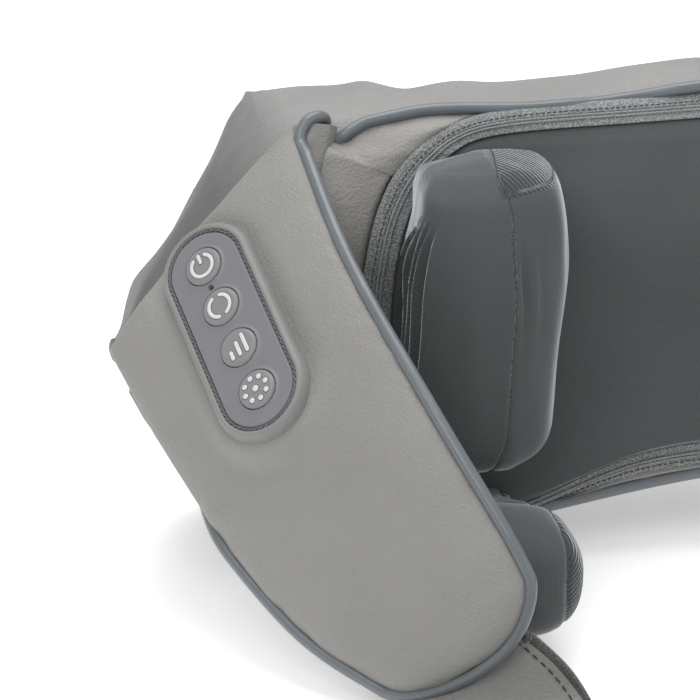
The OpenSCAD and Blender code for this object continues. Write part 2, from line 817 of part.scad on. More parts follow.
placed() back_cover();
placed() leather_gusset();
placed() fabric_panel();
placed() zipper_tape();
placed() zipper_slider();
placed() zipper_pull();
placed() piping_body();
placed() back_shell();
placed() front_frame();
placed() housing_screws();
placed() battery_cells();
placed() battery_holder();
placed() main_pcb();
placed() pcb_parts();
placed() charge_socket();
placed() control_tray();
placed() button_pcb();
placed() tact_switches();
placed() control_pad();
placed() led_lens();
for (i = [0 : 3])
  placed() button(i);
for (s = SIDES) {
  placed() wing(s);
  placed() piping_wing(s);
  placed() claw_bracket(s);
  placed() pivot_pins(s);
  placed() shaft_bushes(s);
  placed() gearbox_base(s);
  placed() gearbox_lid(s);
  placed() motor_can(s);
  placed() worm_rotor(s);
  placed() worm_wheel(s);
  placed() drive_shaft(s);
  placed() upper_claw_core(s);
  placed() upper_claw_pad(s);
  placed() lower_claw_core(s);
  placed() lower_claw_pad(s);
  placed() strap_anchor(s);
  placed() strap(s);
}
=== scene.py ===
"""Shiatsu neck massager: the visual model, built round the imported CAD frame."""
import json
import math

import bpy
import numpy as np
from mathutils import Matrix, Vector


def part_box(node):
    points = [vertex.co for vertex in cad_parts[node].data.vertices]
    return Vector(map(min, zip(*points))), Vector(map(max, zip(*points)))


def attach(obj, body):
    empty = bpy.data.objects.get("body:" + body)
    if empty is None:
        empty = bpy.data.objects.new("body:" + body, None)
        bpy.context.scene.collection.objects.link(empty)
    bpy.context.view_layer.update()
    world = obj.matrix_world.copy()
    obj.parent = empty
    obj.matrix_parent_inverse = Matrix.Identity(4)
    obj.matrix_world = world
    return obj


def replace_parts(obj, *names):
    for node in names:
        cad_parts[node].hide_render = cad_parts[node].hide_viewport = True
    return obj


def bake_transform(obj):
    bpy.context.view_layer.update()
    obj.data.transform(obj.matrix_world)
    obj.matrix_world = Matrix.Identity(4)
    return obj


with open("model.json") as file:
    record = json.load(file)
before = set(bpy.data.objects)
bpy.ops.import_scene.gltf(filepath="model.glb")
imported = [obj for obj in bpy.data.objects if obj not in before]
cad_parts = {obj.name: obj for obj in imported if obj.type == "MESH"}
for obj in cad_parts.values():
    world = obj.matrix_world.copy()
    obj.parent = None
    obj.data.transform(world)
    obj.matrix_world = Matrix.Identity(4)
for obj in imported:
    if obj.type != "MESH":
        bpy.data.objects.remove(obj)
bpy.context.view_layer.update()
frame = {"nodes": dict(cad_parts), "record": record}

MM = 0.001
front_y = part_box("leather_gusset")[0].y          # row-frame Y of the body's front face
SIDES = {"l": ("left", 1), "r": ("right", -1)}   # the left side is at negative X

# ---------------------------------------------------------------- points and curves
# Shapes are worked out in millimetres: +X viewer's right, Y = 0 the body's front face,
# +Z up from the floor. mesh() turns them into the row frame.


def arr(points):
    return np.array(points, float)


def unit(v):
    v = arr(v)
    return v / np.maximum(np.linalg.norm(v, axis=-1, keepdims=True), 1e-12)


def smoothstep(a, b, t):
    t = np.clip((t - a) / (b - a), 0, 1)
    return t * t * (3 - 2 * t)


def hump(x, at, wide, power=2):
    """A smooth hump, 1 at x = at and fading over wide."""
    return np.exp(-((x - at) / wide) ** power)


def signed_power(v, power):
    """v to a power with its sign kept: it squares off a circle's sine and cosine."""
    return np.sign(v) * np.abs(v) ** power


def spline(points, t):
    """Catmull-Rom through the points, t from 0 to 1 along them, by knot."""
    p = arr(points)
    n = len(p) - 1
    t = np.clip(arr(t), 0, 1) * n
    i = np.minimum(t.astype(int), n - 1)
    f = (t - i)[..., None]
    a, b, c, d = p[np.maximum(i - 1, 0)], p[i], p[i + 1], p[np.minimum(i + 2, n)]
    return 0.5 * (2 * b + (c - a) * f + (2 * a - 5 * b + 4 * c - d) * f * f
                  + (3 * b - a - 3 * c + d) * f ** 3)


def even(points, n, closed=False):
    """The polyline's points again, n of them, evenly spaced along it."""
    p = arr(points)
    if closed:
        p = np.vstack([p, p[:1]])
    s = np.concatenate([[0], np.cumsum(np.linalg.norm(np.diff(p, axis=0), axis=1))])
    at = np.linspace(0, s[-1], n + 1)[:-1] if closed else np.linspace(0, s[-1], n)
    return np.stack([np.interp(at, s, p[:, k]) for k in range(p.shape[1])], 1)


def curve(points, n):
    return even(spline(points, np.linspace(0, 1, 40 * len(points))), n)


def between(x, xs, ys):
    """Smooth interpolation of ys over xs."""
    t = np.interp(x, arr(xs), np.linspace(0, 1, len(xs)))
    return spline(arr(ys)[:, None], t)[..., 0]


def ripple(p, size, seed, stretch=(1, 1, 1)):
    """Smooth, seeded unevenness between about -1 and 1 over points, with lumps of that size."""
    rng = np.random.default_rng(seed)
    total = np.zeros(p.shape[:-1])
    for _ in range(14):
        way = unit(rng.normal(size=3)) / arr(stretch)
        total += np.sin(p @ way * (2 * math.pi / size) * rng.uniform(0.6, 1.5) + rng.uniform(0, 6.3))
    return total / 4.2


def mirrored(p, m):
    """Points of the left side on side m: 1 is the left, -1 the right."""
    return p * arr([m, 1, 1])


def in_frame(p, m=1):
    """Millimetres from the middle of the front as metres of the row frame."""
    return mirrored(arr(p), m) * MM + arr([0, front_y, 0])


# ---------------------------------------------------------------- mesh building


def mesh(name, points, faces, material, body=None, uv=None, rib=None):
    p = arr(points)
    data = bpy.data.meshes.new(name)
    data.from_pydata(in_frame(p).tolist(), [], [list(map(int, f)) for f in faces])
    rest = data.attributes.new("rest", "FLOAT_VECTOR", "POINT")
    rest.data.foreach_set("vector", (p * MM).astype(np.float32).ravel())
    rib_data = data.attributes.new("rib", "FLOAT", "POINT")
    value = p[:, 2] if rib is None else rib
    rib_data.data.foreach_set("value", arr(value).astype(np.float32))
    if uv is not None:
        layer = data.uv_layers.new(name="UVMap")
        corner = np.array([l.vertex_index for l in data.loops])
        layer.data.foreach_set("uv", (arr(uv)[corner] * MM).astype(np.float32).ravel())
    data.materials.append(material)
    data.polygons.foreach_set("use_smooth", [True] * len(data.polygons))
    data.update()
    made = bpy.data.objects.new(name, data)
    bpy.context.scene.collection.objects.link(made)
    if body:
        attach(made, body)
    return made


def quads(m, n, wrap=False):
    """Faces of an m by n grid of points. wrap joins the last column to the first."""
    r, c = np.meshgrid(np.arange(m - 1), np.arange(n if wrap else n - 1), indexing="ij")
    c2 = (c + 1) % n
    return np.stack([r * n + c, r * n + c2, (r + 1) * n + c2, (r + 1) * n + c], -1).reshape(-1, 4)


def grid(name, g, material, body=None, wrap=False, caps=False, rib=None, flip=False):
    """A skin over the grid g of rows of points."""
    m, n = g.shape[:2]
    faces = quads(m, n, wrap).tolist()
    if caps:
        faces += [list(range(n))[::-1], [(m - 1) * n + k for k in range(n)]]
    if flip:
        faces = [f[::-1] for f in faces]
    along = np.concatenate([[0], np.cumsum(np.linalg.norm(np.diff(g, axis=0), axis=2).mean(1))])
    across = np.concatenate([[0], np.cumsum(np.linalg.norm(np.diff(g, axis=1), axis=2).mean(0))])
    uv = np.stack(np.meshgrid(along, across, indexing="ij"), -1).reshape(-1, 2)
    rib = None if rib is None else rib.reshape(-1)
    return mesh(name, g.reshape(-1, 3), faces, material, body, uv, rib)


def grid_normals(g, wrap=False):
    du = np.gradient(g, axis=0)
    if wrap:
        dv = (np.roll(g, -1, 1) - np.roll(g, 1, 1)) / 2
    else:
        dv = np.gradient(g, axis=1)
    return unit(np.cross(du, dv))


def outward(g, middle):
    """The wrapped grid's normals, turned to point away from the middle."""
    n = grid_normals(g, wrap=True)
    side = np.sign((n * (g - arr(middle))).sum(-1, keepdims=True))
    return n * np.where(side == 0, 1, side)


def frames_along(path, closed=False):
    """Tangent, side and up vectors along a path, turning as little as possible."""
    p = arr(path)
    t = unit(np.roll(p, -1, 0) - np.roll(p, 1, 0)) if closed else unit(np.gradient(p, axis=0))
    up = np.zeros_like(p)
    u = unit(np.cross(np.cross(t[0], [0, 0, 1]), t[0]))
    for i in range(len(p)):
        u = unit(u - (u @ t[i]) * t[i])
        up[i] = u
    return t, np.cross(t, up), up


def tube(name, path, radius, material, body=None, sides=14, closed=False):
    """A round cord along the path, with round ends unless it is closed."""
    p = arr(path)
    t, side, up = frames_along(p, closed)
    r = np.full(len(p), radius, float) if np.isscalar(radius) else arr(radius)
    a = np.linspace(0, 2 * math.pi, sides, endpoint=False)
    ring = np.cos(a)[None, :, None] * side[:, None] + np.sin(a)[None, :, None] * up[:, None]
    g = p[:, None] + r[:, None, None] * ring
    if closed:
        g = np.concatenate([g, g[:1]])
    else:
        b = np.linspace(0.15, 1, 4) * math.pi / 2
        cap = [p[0] - t[0] * r[0] * math.sin(x) + (g[0] - p[0]) * max(math.cos(x), 0.02) for x in b[::-1]]
        end = [p[-1] + t[-1] * r[-1] * math.sin(x) + (g[-1] - p[-1]) * max(math.cos(x), 0.02) for x in b]
        g = np.concatenate([arr(cap), g, arr(end)])
    return grid(name, g, material, body, wrap=True, caps=not closed)


def beads(name, centres, ways, sides, ups, size, material, body=None):
    """Many small capsules in one mesh: stitches or zip teeth. size is (length, width, height)."""
    rings, facets = 6, 8
    c, w, s, u = map(arr, (centres, ways, sides, ups))
    v = np.linspace(-1, 1, rings)
    v = np.sign(v) * (1 - (1 - np.abs(v)) ** 1.6)
    r = np.maximum(1 - np.abs(v) ** 2.4, 0.0) ** 0.6
    r[[0, -1]] = 0.12
    a = np.linspace(0, 2 * math.pi, facets, endpoint=False)
    v3 = v[None, :, None, None]
    ca = (r[:, None] * np.cos(a)[None])[None, ..., None]
    sa = (r[:, None] * np.sin(a)[None])[None, ..., None]
    one = (v3 * w[:, None, None] * size[0] / 2 + ca * s[:, None, None] * size[1] / 2
           + sa * u[:, None, None] * size[2] / 2) + c[:, None, None]
    count = rings * facets
    base = quads(rings, facets, True)
    faces = (base[None] + (np.arange(len(c)) * count)[:, None, None]).reshape(-1, 4).tolist()
    for k in range(len(c)):
        faces.append([k * count + j for j in range(facets)][::-1])
        faces.append([k * count + count - facets + j for j in range(facets)])
    return mesh(name, one.reshape(-1, 3), faces, material, body)


def stitches(name, path, normals, pitch, size, material, body=None, lean=0.0, closed=False):
    """A row of stitches along a path on a surface. lean turns each one, in degrees."""
    p = arr(path)
    q = np.vstack([p, p[:1]]) if closed else p
    total = np.linalg.norm(np.diff(q, axis=0), axis=1).sum()
    n = max(int(total / pitch), 2)
    pts = even(p, n, closed)
    nrm = unit(even(np.hstack([p, arr(normals)]), n, closed)[:, 3:])
    t = unit(np.roll(pts, -1, 0) - np.roll(pts, 1, 0)) if closed else unit(np.gradient(pts, axis=0))
    s = unit(np.cross(nrm, t))
    a = math.radians(lean)
    way = t * math.cos(a) + s * math.sin(a)
    return beads(name, pts + nrm * size[2] * 0.15, way, unit(np.cross(nrm, way)), nrm, size, material,
                 body)


# ---------------------------------------------------------------- materials


def linear(rgb):
    """An sRGB colour out of 255 as linear values."""
    c = arr(rgb) / 255
    return tuple(np.where(c <= 0.04045, c / 12.92, ((c + 0.055) / 1.055) ** 2.4)) + (1.0,)


class Shader:
    """A material's node tree, with short calls for the nodes that the materials share."""

    def __init__(self, name, rough, **inputs):
        self.mat = bpy.data.materials.new(name)
        self.mat.use_nodes = True
        self.nodes, self.links = self.mat.node_tree.nodes, self.mat.node_tree.links
        self.bsdf = self.nodes["Principled BSDF"]
        self.bsdf.inputs["Roughness"].default_value = rough
        for key, value in inputs.items():
            self.bsdf.inputs[key.replace("_", " ")].default_value = value

    def node(self, kind, **settings):
        n = self.nodes.new(kind)
        for key, value in settings.items():
            if key in n.inputs:
                n.inputs[key].default_value = value
            else:
                setattr(n, key, value)
        return n

    def link(self, a, b):
        self.links.new(a, b)

    def rest(self):
        """Places on the piece at rest, in metres, which stay with it as it bends."""
        return self.node("ShaderNodeAttribute", attribute_name="rest").outputs["Vector"]

    def object_place(self):
        return self.node("ShaderNodeTexCoord").outputs["Object"]

    def rib_line(self):
        """The piece's rib value, in millimetres across its ribs."""
        return self.node("ShaderNodeAttribute", attribute_name="rib").outputs["Fac"]

    def noise(self, where, scale, detail):
        n = self.node("ShaderNodeTexNoise", Scale=scale, Detail=detail, Roughness=0.5)
        self.link(where, n.inputs["Vector"])
        return n.outputs["Fac"]

    def cells(self, where, scale, feature="F1"):
        n = self.node("ShaderNodeTexVoronoi", Scale=scale)
        n.feature = feature
        self.link(where, n.inputs["Vector"])
        return n.outputs["Distance"]

    def math(self, op, a, b=0.5):
        n = self.node("ShaderNodeMath")
        n.operation = op
        for k, v in enumerate((a, b)):
            if isinstance(v, (int, float)):
                n.inputs[k].default_value = v
            else:
                self.link(v, n.inputs[k])
        return n.outputs[0]

    def wave(self, value, pitch):
        """A smooth wave from 0 to 1 of a value in millimetres."""
        turned = self.math("SINE", self.math("MULTIPLY", value, 2 * math.pi / pitch))
        return self.math("ADD", self.math("MULTIPLY", turned, 0.5), 0.5)

    def ramp(self, value, stops):
        n = self.node("ShaderNodeValToRGB")
        ends = n.color_ramp.elements
        while len(ends) < len(stops):
            ends.new(0.5)
        for e, (at, colour) in zip(ends, stops):
            e.position, e.color = at, colour
        self.link(value, n.inputs["Fac"])
        return n.outputs["Color"]

    def tones(self, value, rgb, dark, pale, ends=(0.3, 0.7)):
        """Darker and paler tones of one colour, over a value between these ends."""
        return self.ramp(value, [(ends[0], shade(rgb, dark)), (ends[1], shade(rgb, pale))])

    def colour(self, socket):
        self.link(socket, self.bsdf.inputs["Base Color"])

    def rough(self, value, low, high):
        n = self.node("ShaderNodeMapRange")
        n.inputs["To Min"].default_value, n.inputs["To Max"].default_value = low, high
        self.link(value, n.inputs["Value"])
        self.link(n.outputs["Result"], self.bsdf.inputs["Roughness"])

    def bump(self, *heights):
        """Each height is (socket, depth in metres)."""
        last = None
        for socket, depth in heights:
            b = self.node("ShaderNodeBump", Strength=1.0, Distance=depth)
            self.link(socket, b.inputs["Height"])
            if last:
                self.link(last, b.inputs["Normal"])
            last = b.outputs["Normal"]
        self.link(last, self.bsdf.inputs["Normal"])

    def off_middle(self, near, far):
        """A mask that grows from 0 to 1 between these distances from the middle plane, in metres."""
        split = self.node("ShaderNodeSeparateXYZ")
        self.link(self.rest(), split.inputs[0])
        n = self.node("ShaderNodeMapRange")
        n.inputs["From Min"].default_value, n.inputs["From Max"].default_value = near, far
        self.link(self.math("ABSOLUTE", split.outputs[0]), n.inputs["Value"])
        return n.outputs["Result"]

    def convex_edges(self, low=0.5, high=0.56):
        """A mask that is 1 on convex edges."""
        g = self.node("ShaderNodeNewGeometry")
        n = self.node("ShaderNodeMapRange")
        n.inputs["From Min"].default_value, n.inputs["From Max"].default_value = low, high
        self.link(g.outputs["Pointiness"], n.inputs["Value"])
        return n.outputs["Result"]

    def mix(self, fac, a, b):
        n = self.node("ShaderNodeMix", data_type="RGBA")
        for k, v in ((0, fac), (6, a), (7, b)):
            if isinstance(v, (tuple, float, int)):
                n.inputs[k].default_value = v
            else:
                self.link(v, n.inputs[k])
        return n.outputs[2]


def shade(rgb, k):
    return linear(np.clip(arr(rgb) * k, 0, 255))


def leather(name="leather_grained", rgb=(129, 128, 125), grain=1.0, painted_end_shade=1.0):
    s = Shader(name, 0.5, Sheen_Weight=0.05, Specular_IOR_Level=0.38)
    where = s.rest()
    broad = s.noise(where, 26, 3)
    fine = s.noise(where, 900, 3)
    pores = s.cells(where, 1050)
    tone = s.tones(broad, rgb, 0.965, 1.03)
    flecks = s.tones(pores, rgb, 0.93, 1.02, (0.0, 0.5))
    skin = s.mix(0.35, tone, flecks)
    # If asked for, the piece's ends, from 146 to 172 mm off the middle outward, fade to a darker copy of the
    # colour: painted shade on the body's sides, which face away from the light.
    s.colour(s.mix(s.off_middle(0.146, 0.172), skin, shade(rgb, painted_end_shade)) if painted_end_shade < 1 else skin)
    s.rough(fine, 0.42, 0.62)
    s.bump((s.noise(where, 55, 2), 0.0005 * grain), (pores, 0.00018 * grain), (fine, 0.0001 * grain))
    return s.mat


def knit(name="knit_ribbed", rgb=(74, 77, 78), pitch=0.8, depth=0.00006, contrast=0.84):
    s = Shader(name, 0.8, Sheen_Weight=0.9, Sheen_Roughness=0.32, Specular_IOR_Level=0.25)
    s.bsdf.inputs["Sheen Tint"].default_value = (0.9, 0.95, 1, 1)
    where = s.rest()
    line = s.rib_line()
    ribs = s.wave(line, pitch)
    loops = s.noise(where, 1500, 2)
    broad = s.noise(where, 30, 3)
    tone = s.tones(broad, rgb, 0.95, 1.05)
    lines = s.tones(ribs, rgb, contrast, 1.04, (0.0, 0.55))
    s.colour(s.mix(0.5, tone, lines))
    s.rough(loops, 0.7, 0.9)
    s.bump((broad, 0.0006), (ribs, depth), (loops, 0.0001))
    return s.mat


def woven_tape(name="zip_weave", rgb=(136, 139, 140)):
    s = Shader(name, 0.8, Sheen_Weight=0.6, Sheen_Roughness=0.4)
    where = s.rest()
    line = s.rib_line()
    ribs = s.wave(line, 0.8)
    knots = s.cells(where, 1300)
    tone = s.tones(knots, rgb, 1.22, 0.7, (0.05, 0.6))
    s.colour(s.mix(0.25, tone, s.tones(ribs, rgb, 0.85, 1.05, (0.0, 0.6))))
    s.bump((ribs, 0.00003), (knots, 0.0003))
    return s.mat


def coated_cord():
    rgb = (97, 102, 106)
    s = Shader("piping_coated", 0.34, Coat_Weight=0.15, Coat_Roughness=0.25)
    where = s.rest()
    s.colour(s.tones(s.noise(where, 60, 3), rgb, 0.96, 1.03))
    s.rough(s.noise(where, 220, 2), 0.28, 0.42)
    s.bump((s.noise(where, 160, 2), 0.0003))
    return s.mat


def silicone(name, rgb, rough=0.46):
    s = Shader(name, rough, Specular_IOR_Level=0.42)
    where = s.rest()
    # Paler on convex edges.
    edge = s.convex_edges(0.5, 0.6)
    base = s.tones(s.noise(where, 120, 3), rgb, 0.985, 1.012)
    s.colour(s.mix(s.math("MULTIPLY", edge, 0.25), base, shade(rgb, 1.12)))
    s.rough(s.noise(where, 500, 2), rough - 0.06, rough + 0.06)
    s.bump((s.noise(where, 2200, 2), 0.00004))
    return s.mat


def thread(name="thread_dark", rgb=(52, 54, 54), sheen=0.15):
    s = Shader(name, 0.75, Sheen_Weight=sheen)
    where = s.rest()
    s.colour(s.tones(s.noise(where, 3000, 2), rgb, 0.75, 1.2))
    s.bump((s.noise(where, 4000, 2), 0.0002))
    return s.mat


def printed(name, rgb):
    s = Shader(name, 0.5)
    s.colour(s.tones(s.noise(s.rest(), 700, 2), rgb, 0.97, 1.01))
    s.bump((s.noise(s.rest(), 2000, 2), 0.00003))
    return s.mat


def moulded(name, rgb, rough=0.5):
    """Moulded plastic on a CAD piece: fine spark texture, paler on its edges."""
    s = Shader(name, rough)
    where = s.object_place()
    base = s.tones(s.noise(where, 90, 3), rgb, 0.94, 1.05)
    s.colour(s.mix(s.math("MULTIPLY", s.convex_edges(), 0.3), base, shade(rgb, 1.5)))
    s.rough(s.noise(where, 700, 2), rough - 0.08, rough + 0.1)
    s.bump((s.noise(where, 2600, 2), 0.00008))
    return s.mat


def metal(name, rgb, rough=0.32, drawn=(1, 1, 12)):
    s = Shader(name, rough, Metallic=1.0)
    stretch = s.node("ShaderNodeMapping")
    stretch.inputs["Scale"].default_value = drawn
    s.link(s.object_place(), stretch.inputs["Vector"])
    lines = s.noise(stretch.outputs["Vector"], 400, 3)
    s.colour(s.tones(lines, rgb, 0.9, 1.06))
    s.rough(lines, rough - 0.1, rough + 0.14)
    s.bump((lines, 0.00003))
    return s.mat


def board():
    s = Shader("solder_mask", 0.35)
    where = s.object_place()
    tracks = s.cells(where, 300, "DISTANCE_TO_EDGE")
    s.colour(s.ramp(tracks, [(0.0, linear((60, 120, 70))), (0.06, linear((20, 74, 42)))]))
    s.bump((tracks, 0.00004))
    return s.mat


LEATHER = leather()
# The back cover's ends are darkened to 0.68 of the colour as painted shade.
LEATHER_BODY = leather("leather_body_painted_shade", (133, 132, 131), 1.0, 0.68)
LEATHER_GUSSET = leather("leather_gusset", (136, 134, 131))
LEATHER_STRAP = leather("leather_strap", (120, 119, 116), 1.2)
KNIT = knit()
KNIT_BOLD = knit("knit_bold", (62, 65, 67), 1.25, 0.00025, 0.5)
TAPE = woven_tape()
COIL = thread("zip_coil", (128, 131, 132), 0.5)
BINDING = woven_tape("strap_binding", (78, 78, 77))
PIPING = coated_cord()
RIM = silicone("silicone_rim", (122, 122, 121), 0.5)
PLATE = silicone("silicone_plate", (112, 113, 117), 0.46)
KEYS = silicone("silicone_keys", (121, 121, 121), 0.46)
THREAD = thread()
THREAD_PALE = thread("thread_grey", (104, 105, 107))
ICON = printed("icon_print", (196, 196, 195))
# Dark grey for the strip under each icon stroke: painted shade standing in for the shadowed groove round the
# print.
ICON_GAP_SHADE = printed("icon_gap_painted_shade", (70, 71, 72))
LENS = silicone("led_smoked", (26, 27, 28), 0.15)
SLIDER = metal("slider_painted", (96, 100, 103), 0.36, (1, 1, 1))

# ---------------------------------------------------------------- body: back cover

# Sections of the body's left half as [X from the middle: (Y, Z) from the front top edge over the
# top, down the back and under to the front bottom edge].
BODY = {
    0: [(25, 157), (33, 160), (48, 161), (62, 154), (70, 136), (75, 100), (76, 60), (74, 36),
        (62, 23), (34, 21.5), (8, 23), (0, 29)],
    60: [(24, 152.4), (32, 155), (48, 155.6), (62, 151), (70, 134), (75, 100), (76, 55), (74, 26),
         (60, 13.5), (32, 12.5), (8, 14), (0, 20)],
    100: [(24, 153.2), (32, 154.0), (49, 153.6), (62, 151), (70, 133), (75, 98), (76, 50), (74, 14),
          (60, 1), (30, 0.4), (7, 1.2), (1, 7)],
    122: [(22, 150.5), (30, 153.6), (52, 154), (64, 150), (70.5, 131), (75, 96), (76, 50), (74, 14),
          (60, 1), (30, 0.4), (7, 1.2), (1, 7)],
    134: [(19, 146), (28, 152.4), (55, 154.6), (65, 150), (70.5, 130), (75, 95), (76, 50), (74, 14),
          (60, 1), (30, 0.4), (7, 1.2), (1, 7)],
    146: [(19, 149.3), (30, 151.5), (57, 154.6), (66, 149), (71, 129), (75, 94), (76, 50), (73, 14),
          (60, 1), (30, 0.4), (8, 1.2), (1, 7)],
    153: [(17, 144.5), (30, 149.5), (58, 154), (66, 148), (71, 128), (75, 93), (75.5, 50), (72.5, 14.5),
          (60, 1.6), (30, 1.2), (8.5, 1.8), (1.5, 7.5)],
    158: [(15.5, 139.5), (32, 146), (59, 151.5), (67, 143), (71, 124), (74, 92), (75, 50), (72, 15),
          (60, 3), (30, 2), (9, 2.5), (2, 8)],
    172: [(11.5, 123), (24, 125.5), (43, 130), (59, 125), (68, 112), (71.5, 85), (71.5, 52), (69, 25),
          (56, 14), (30, 13), (10, 14), (2, 19)],
    184: [(7.8, 110.5), (17, 112), (31, 114.5), (50, 107), (63.5, 96), (66.5, 77), (66, 54), (62, 38),
          (50, 32), (30, 32), (11, 33), (3, 37)],
    198: [(3.8, 96), (10, 98), (18, 100), (36, 95.5), (49, 89), (52.5, 76), (51.5, 65), (46, 58),
          (34, 57), (22, 56), (10, 57), (3, 60)],
    209: [(0.4, 84.6), (3, 85.4), (6, 85.6), (10, 84.6), (13, 83), (14.5, 81), (14, 79.5), (13, 78.5),
          (10, 78), (7, 78), (3, 78.5), (0.4, 80)],
}
BODY_X = sorted(BODY)
BODY_END = BODY_X[-1]       # half the body's width
BACK_SEAM_Z = 118
CORD_R = 2.1                # radius of the piping
AROUND = 560                # points round the zip and the body's front edge


def body_section(x, n=12):
    """The body's section at X = -x or +x as n points [Y, Z]."""
    k = len(BODY[0])
    keys = arr([between(abs(x), BODY_X, [BODY[s][i][j] for s in BODY_X])
                for i in range(k) for j in (0, 1)]).reshape(k, 2)
    return keys if n == k else curve(keys, n)


def body_columns():
    """X stations over the whole width, closer together towards the ends."""
    t = np.linspace(-1, 1, 231)
    return np.sign(t) * BODY_END * (1 - (1 - np.abs(t)) ** 1.25)


def back_cover():
    xs = body_columns()
    g = arr([[(x, y, z) for y, z in body_section(x, 110)] for x in xs])
    n = grid_normals(g)
    out = np.abs(g[..., 0])
    waves = sum(tall * hump(out, at, wide)
                for tall, at, wide in ((0.9, 84, 8), (2.4, 116, 8), (-0.9, 101, 6), (0.8, 140, 8)))
    g[..., 2] += waves * smoothstep(32, 46, g[..., 1]) * smoothstep(130, 150, g[..., 2])
    round_ = np.linspace(0, 1, 110)
    inner = smoothstep(0, 0.06, round_) * (1 - smoothstep(0.94, 1, round_))
    pull = hump(out, 150, 26) * smoothstep(110, 150, g[..., 2])
    lumps = 0.55 * ripple(g, 70, 3) + 0.25 * ripple(g, 26, 4, (1, 1, 2))
    folds = ripple(g, 16, 5, (3, 1, 1)) * pull * 0.7
    seam = np.abs(g[..., 2] - BACK_SEAM_Z) * (g[..., 1] > 60) + 99 * (g[..., 1] <= 60)
    dent = -1.3 * hump(seam, 0, 1.1) + 0.8 * hump(seam, 3, 3)
    dent *= 1 - smoothstep(176, 196, out)
    g = g - n * ((lumps + folds) * inner + dent)[..., None]
    g[..., 2] = np.maximum(g[..., 2], 0.1)
    made = grid("back_cover_leather", g, LEATHER_BODY, "base")
    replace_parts(made, "back_cover")
    for k, z in enumerate((BACK_SEAM_Z + 4.4, BACK_SEAM_Z - 4.4)):
        path = []
        for i, x in enumerate(xs):
            if abs(x) < 182:
                j = np.argmin(np.abs(g[i, :, 2] - z) + 99 * (g[i, :, 1] < 55))
                path.append(np.append(g[i, j], -n[i, j]))
        path = arr(path)
        stitches(f"back_seam_stitches_{k}", path[:, :3], path[:, 3:], 3.2, (2.3, 0.7, 0.6), THREAD_PALE,
                 "base")
    for x, side in ((-BODY_END, "l"), (BODY_END, "r")):
        ring = arr([(x, y, z) for y, z in body_section(x, 40)])
        rows = [ring + arr([np.sign(x) * 1.6, 0, 0]) * math.sin(t * math.pi / 2)
                - (ring - ring.mean(0)) * [0, 1, 1] * (1 - math.cos(t * math.pi / 2)) * 0.98
                for t in np.linspace(0, 1, 6)]
        grid(f"back_cover_end_{side}", arr(rows), LEATHER_BODY, "base", wrap=True, caps=True)
    return made


# ---------------------------------------------------------------- body: front

ZIP_OUT = [(0, 155.2), (-35, 154.3), (-56, 153.9), (-76, 153), (-90, 150.8), (-103, 145.3), (-113, 137.3),
           (-120.4, 125.7), (-124.8, 112), (-127, 95), (-127.5, 70), (-126.5, 40), (-120, 20), (-108, 10.5),
           (-92, 9.5), (-70, 16), (-32, 27), (0, 30)]
ZIP_WIDE = 9.5


def front_face(z):
    """Y of the front at height z: it leans back towards the top."""
    return between(z, [-6, 60, 100, 112, 126, 143, 150, 155, 166], [0, 0, 0, 0.6, 5, 13, 18, 24, 36])


def zip_loop(inset, n=AROUND):
    """The zip's outline, drawn in by inset, as [X, Z] from the middle of the top, anticlockwise."""
    half = curve(ZIP_OUT, 300)
    whole = np.vstack([half, (half * [-1, 1])[-2:0:-1]])
    p = even(whole, n, closed=True)
    t = unit(np.roll(p, -3, 0) - np.roll(p, 3, 0))
    narrow = 1 - 0.36 * smoothstep(138, 152, p[:, 1:]) - 0.72 * (1 - smoothstep(12, 36, p[:, 1:]))
    return even(p + inset * narrow * np.stack([-t[:, 1], t[:, 0]], 1), n, closed=True)


def on_front(xz, proud=0.0):
    return np.stack([xz[..., 0], front_face(xz[..., 1]) - proud, xz[..., 1]], -1)


def body_edge():
    """The front edge of the back cover, all the way round, from the middle of the top."""
    xs = body_columns()
    top = arr([(x, *body_section(x)[0]) for x in xs])[::-1]
    low = arr([(x, *body_section(x)[-1]) for x in xs])
    k = len(xs) // 2
    return even(np.vstack([top[k:], low, top[:k]]), AROUND, closed=True)


def angles_round(loop):
    """The angle of each of the loop's points round the body's middle."""
    rel = loop[:, [0, -1]] - [0, 80]
    return np.unwrap(np.arctan2(-rel[:, 0], rel[:, 1]))


def by_angle(loop, angles):
    """The loop's points at these angles round the body's middle."""
    a = angles_round(loop)
    a = np.concatenate([a - 2 * math.pi, a, a + 2 * math.pi])
    p = np.vstack([loop, loop, loop])
    order = np.argsort(a)
    return np.stack([np.interp(angles, a[order], p[order, k]) for k in range(p.shape[1])], 1)


def leather_gusset():
    loop = body_edge()
    inner = by_angle(zip_loop(0.8), angles_round(loop))
    thin = 1 - smoothstep(0.5, 5.0, loop[:, 2] - inner[:, 1] + 99 * (loop[:, 2] < 120))
    rows = []
    for t in np.linspace(0, 1, 34):
        xz = loop[:, [0, 2]] * (1 - t) + inner * t
        flat = front_face(xz[:, 1])
        edge = loop[:, 1] - front_face(loop[:, 2])
        y = flat + edge * (1 - smoothstep(0, 0.8, t)) - 2.2 * math.sin(math.pi * min(t * 1.05, 1)) ** 0.8
        y = y + 3.0 * smoothstep(0.93, 1.0, t) + 2.0 * (1 - smoothstep(0, 0.05, t)) + 3.5 * thin
        rows.append(np.stack([xz[:, 0], y, xz[:, 1]], 1))
    g = arr(rows)
    t = np.linspace(0, 1, 34)[:, None]
    pucker = ripple(g, 9, 11) * hump(t, 0.08, 0.16)
    g[..., 1] += 0.45 * pucker + 0.35 * ripple(g, 30, 12) * np.sin(math.pi * t)
    made = grid("gusset_leather", g, LEATHER_GUSSET, "base", wrap=True, flip=True)
    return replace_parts(made, "leather_gusset")


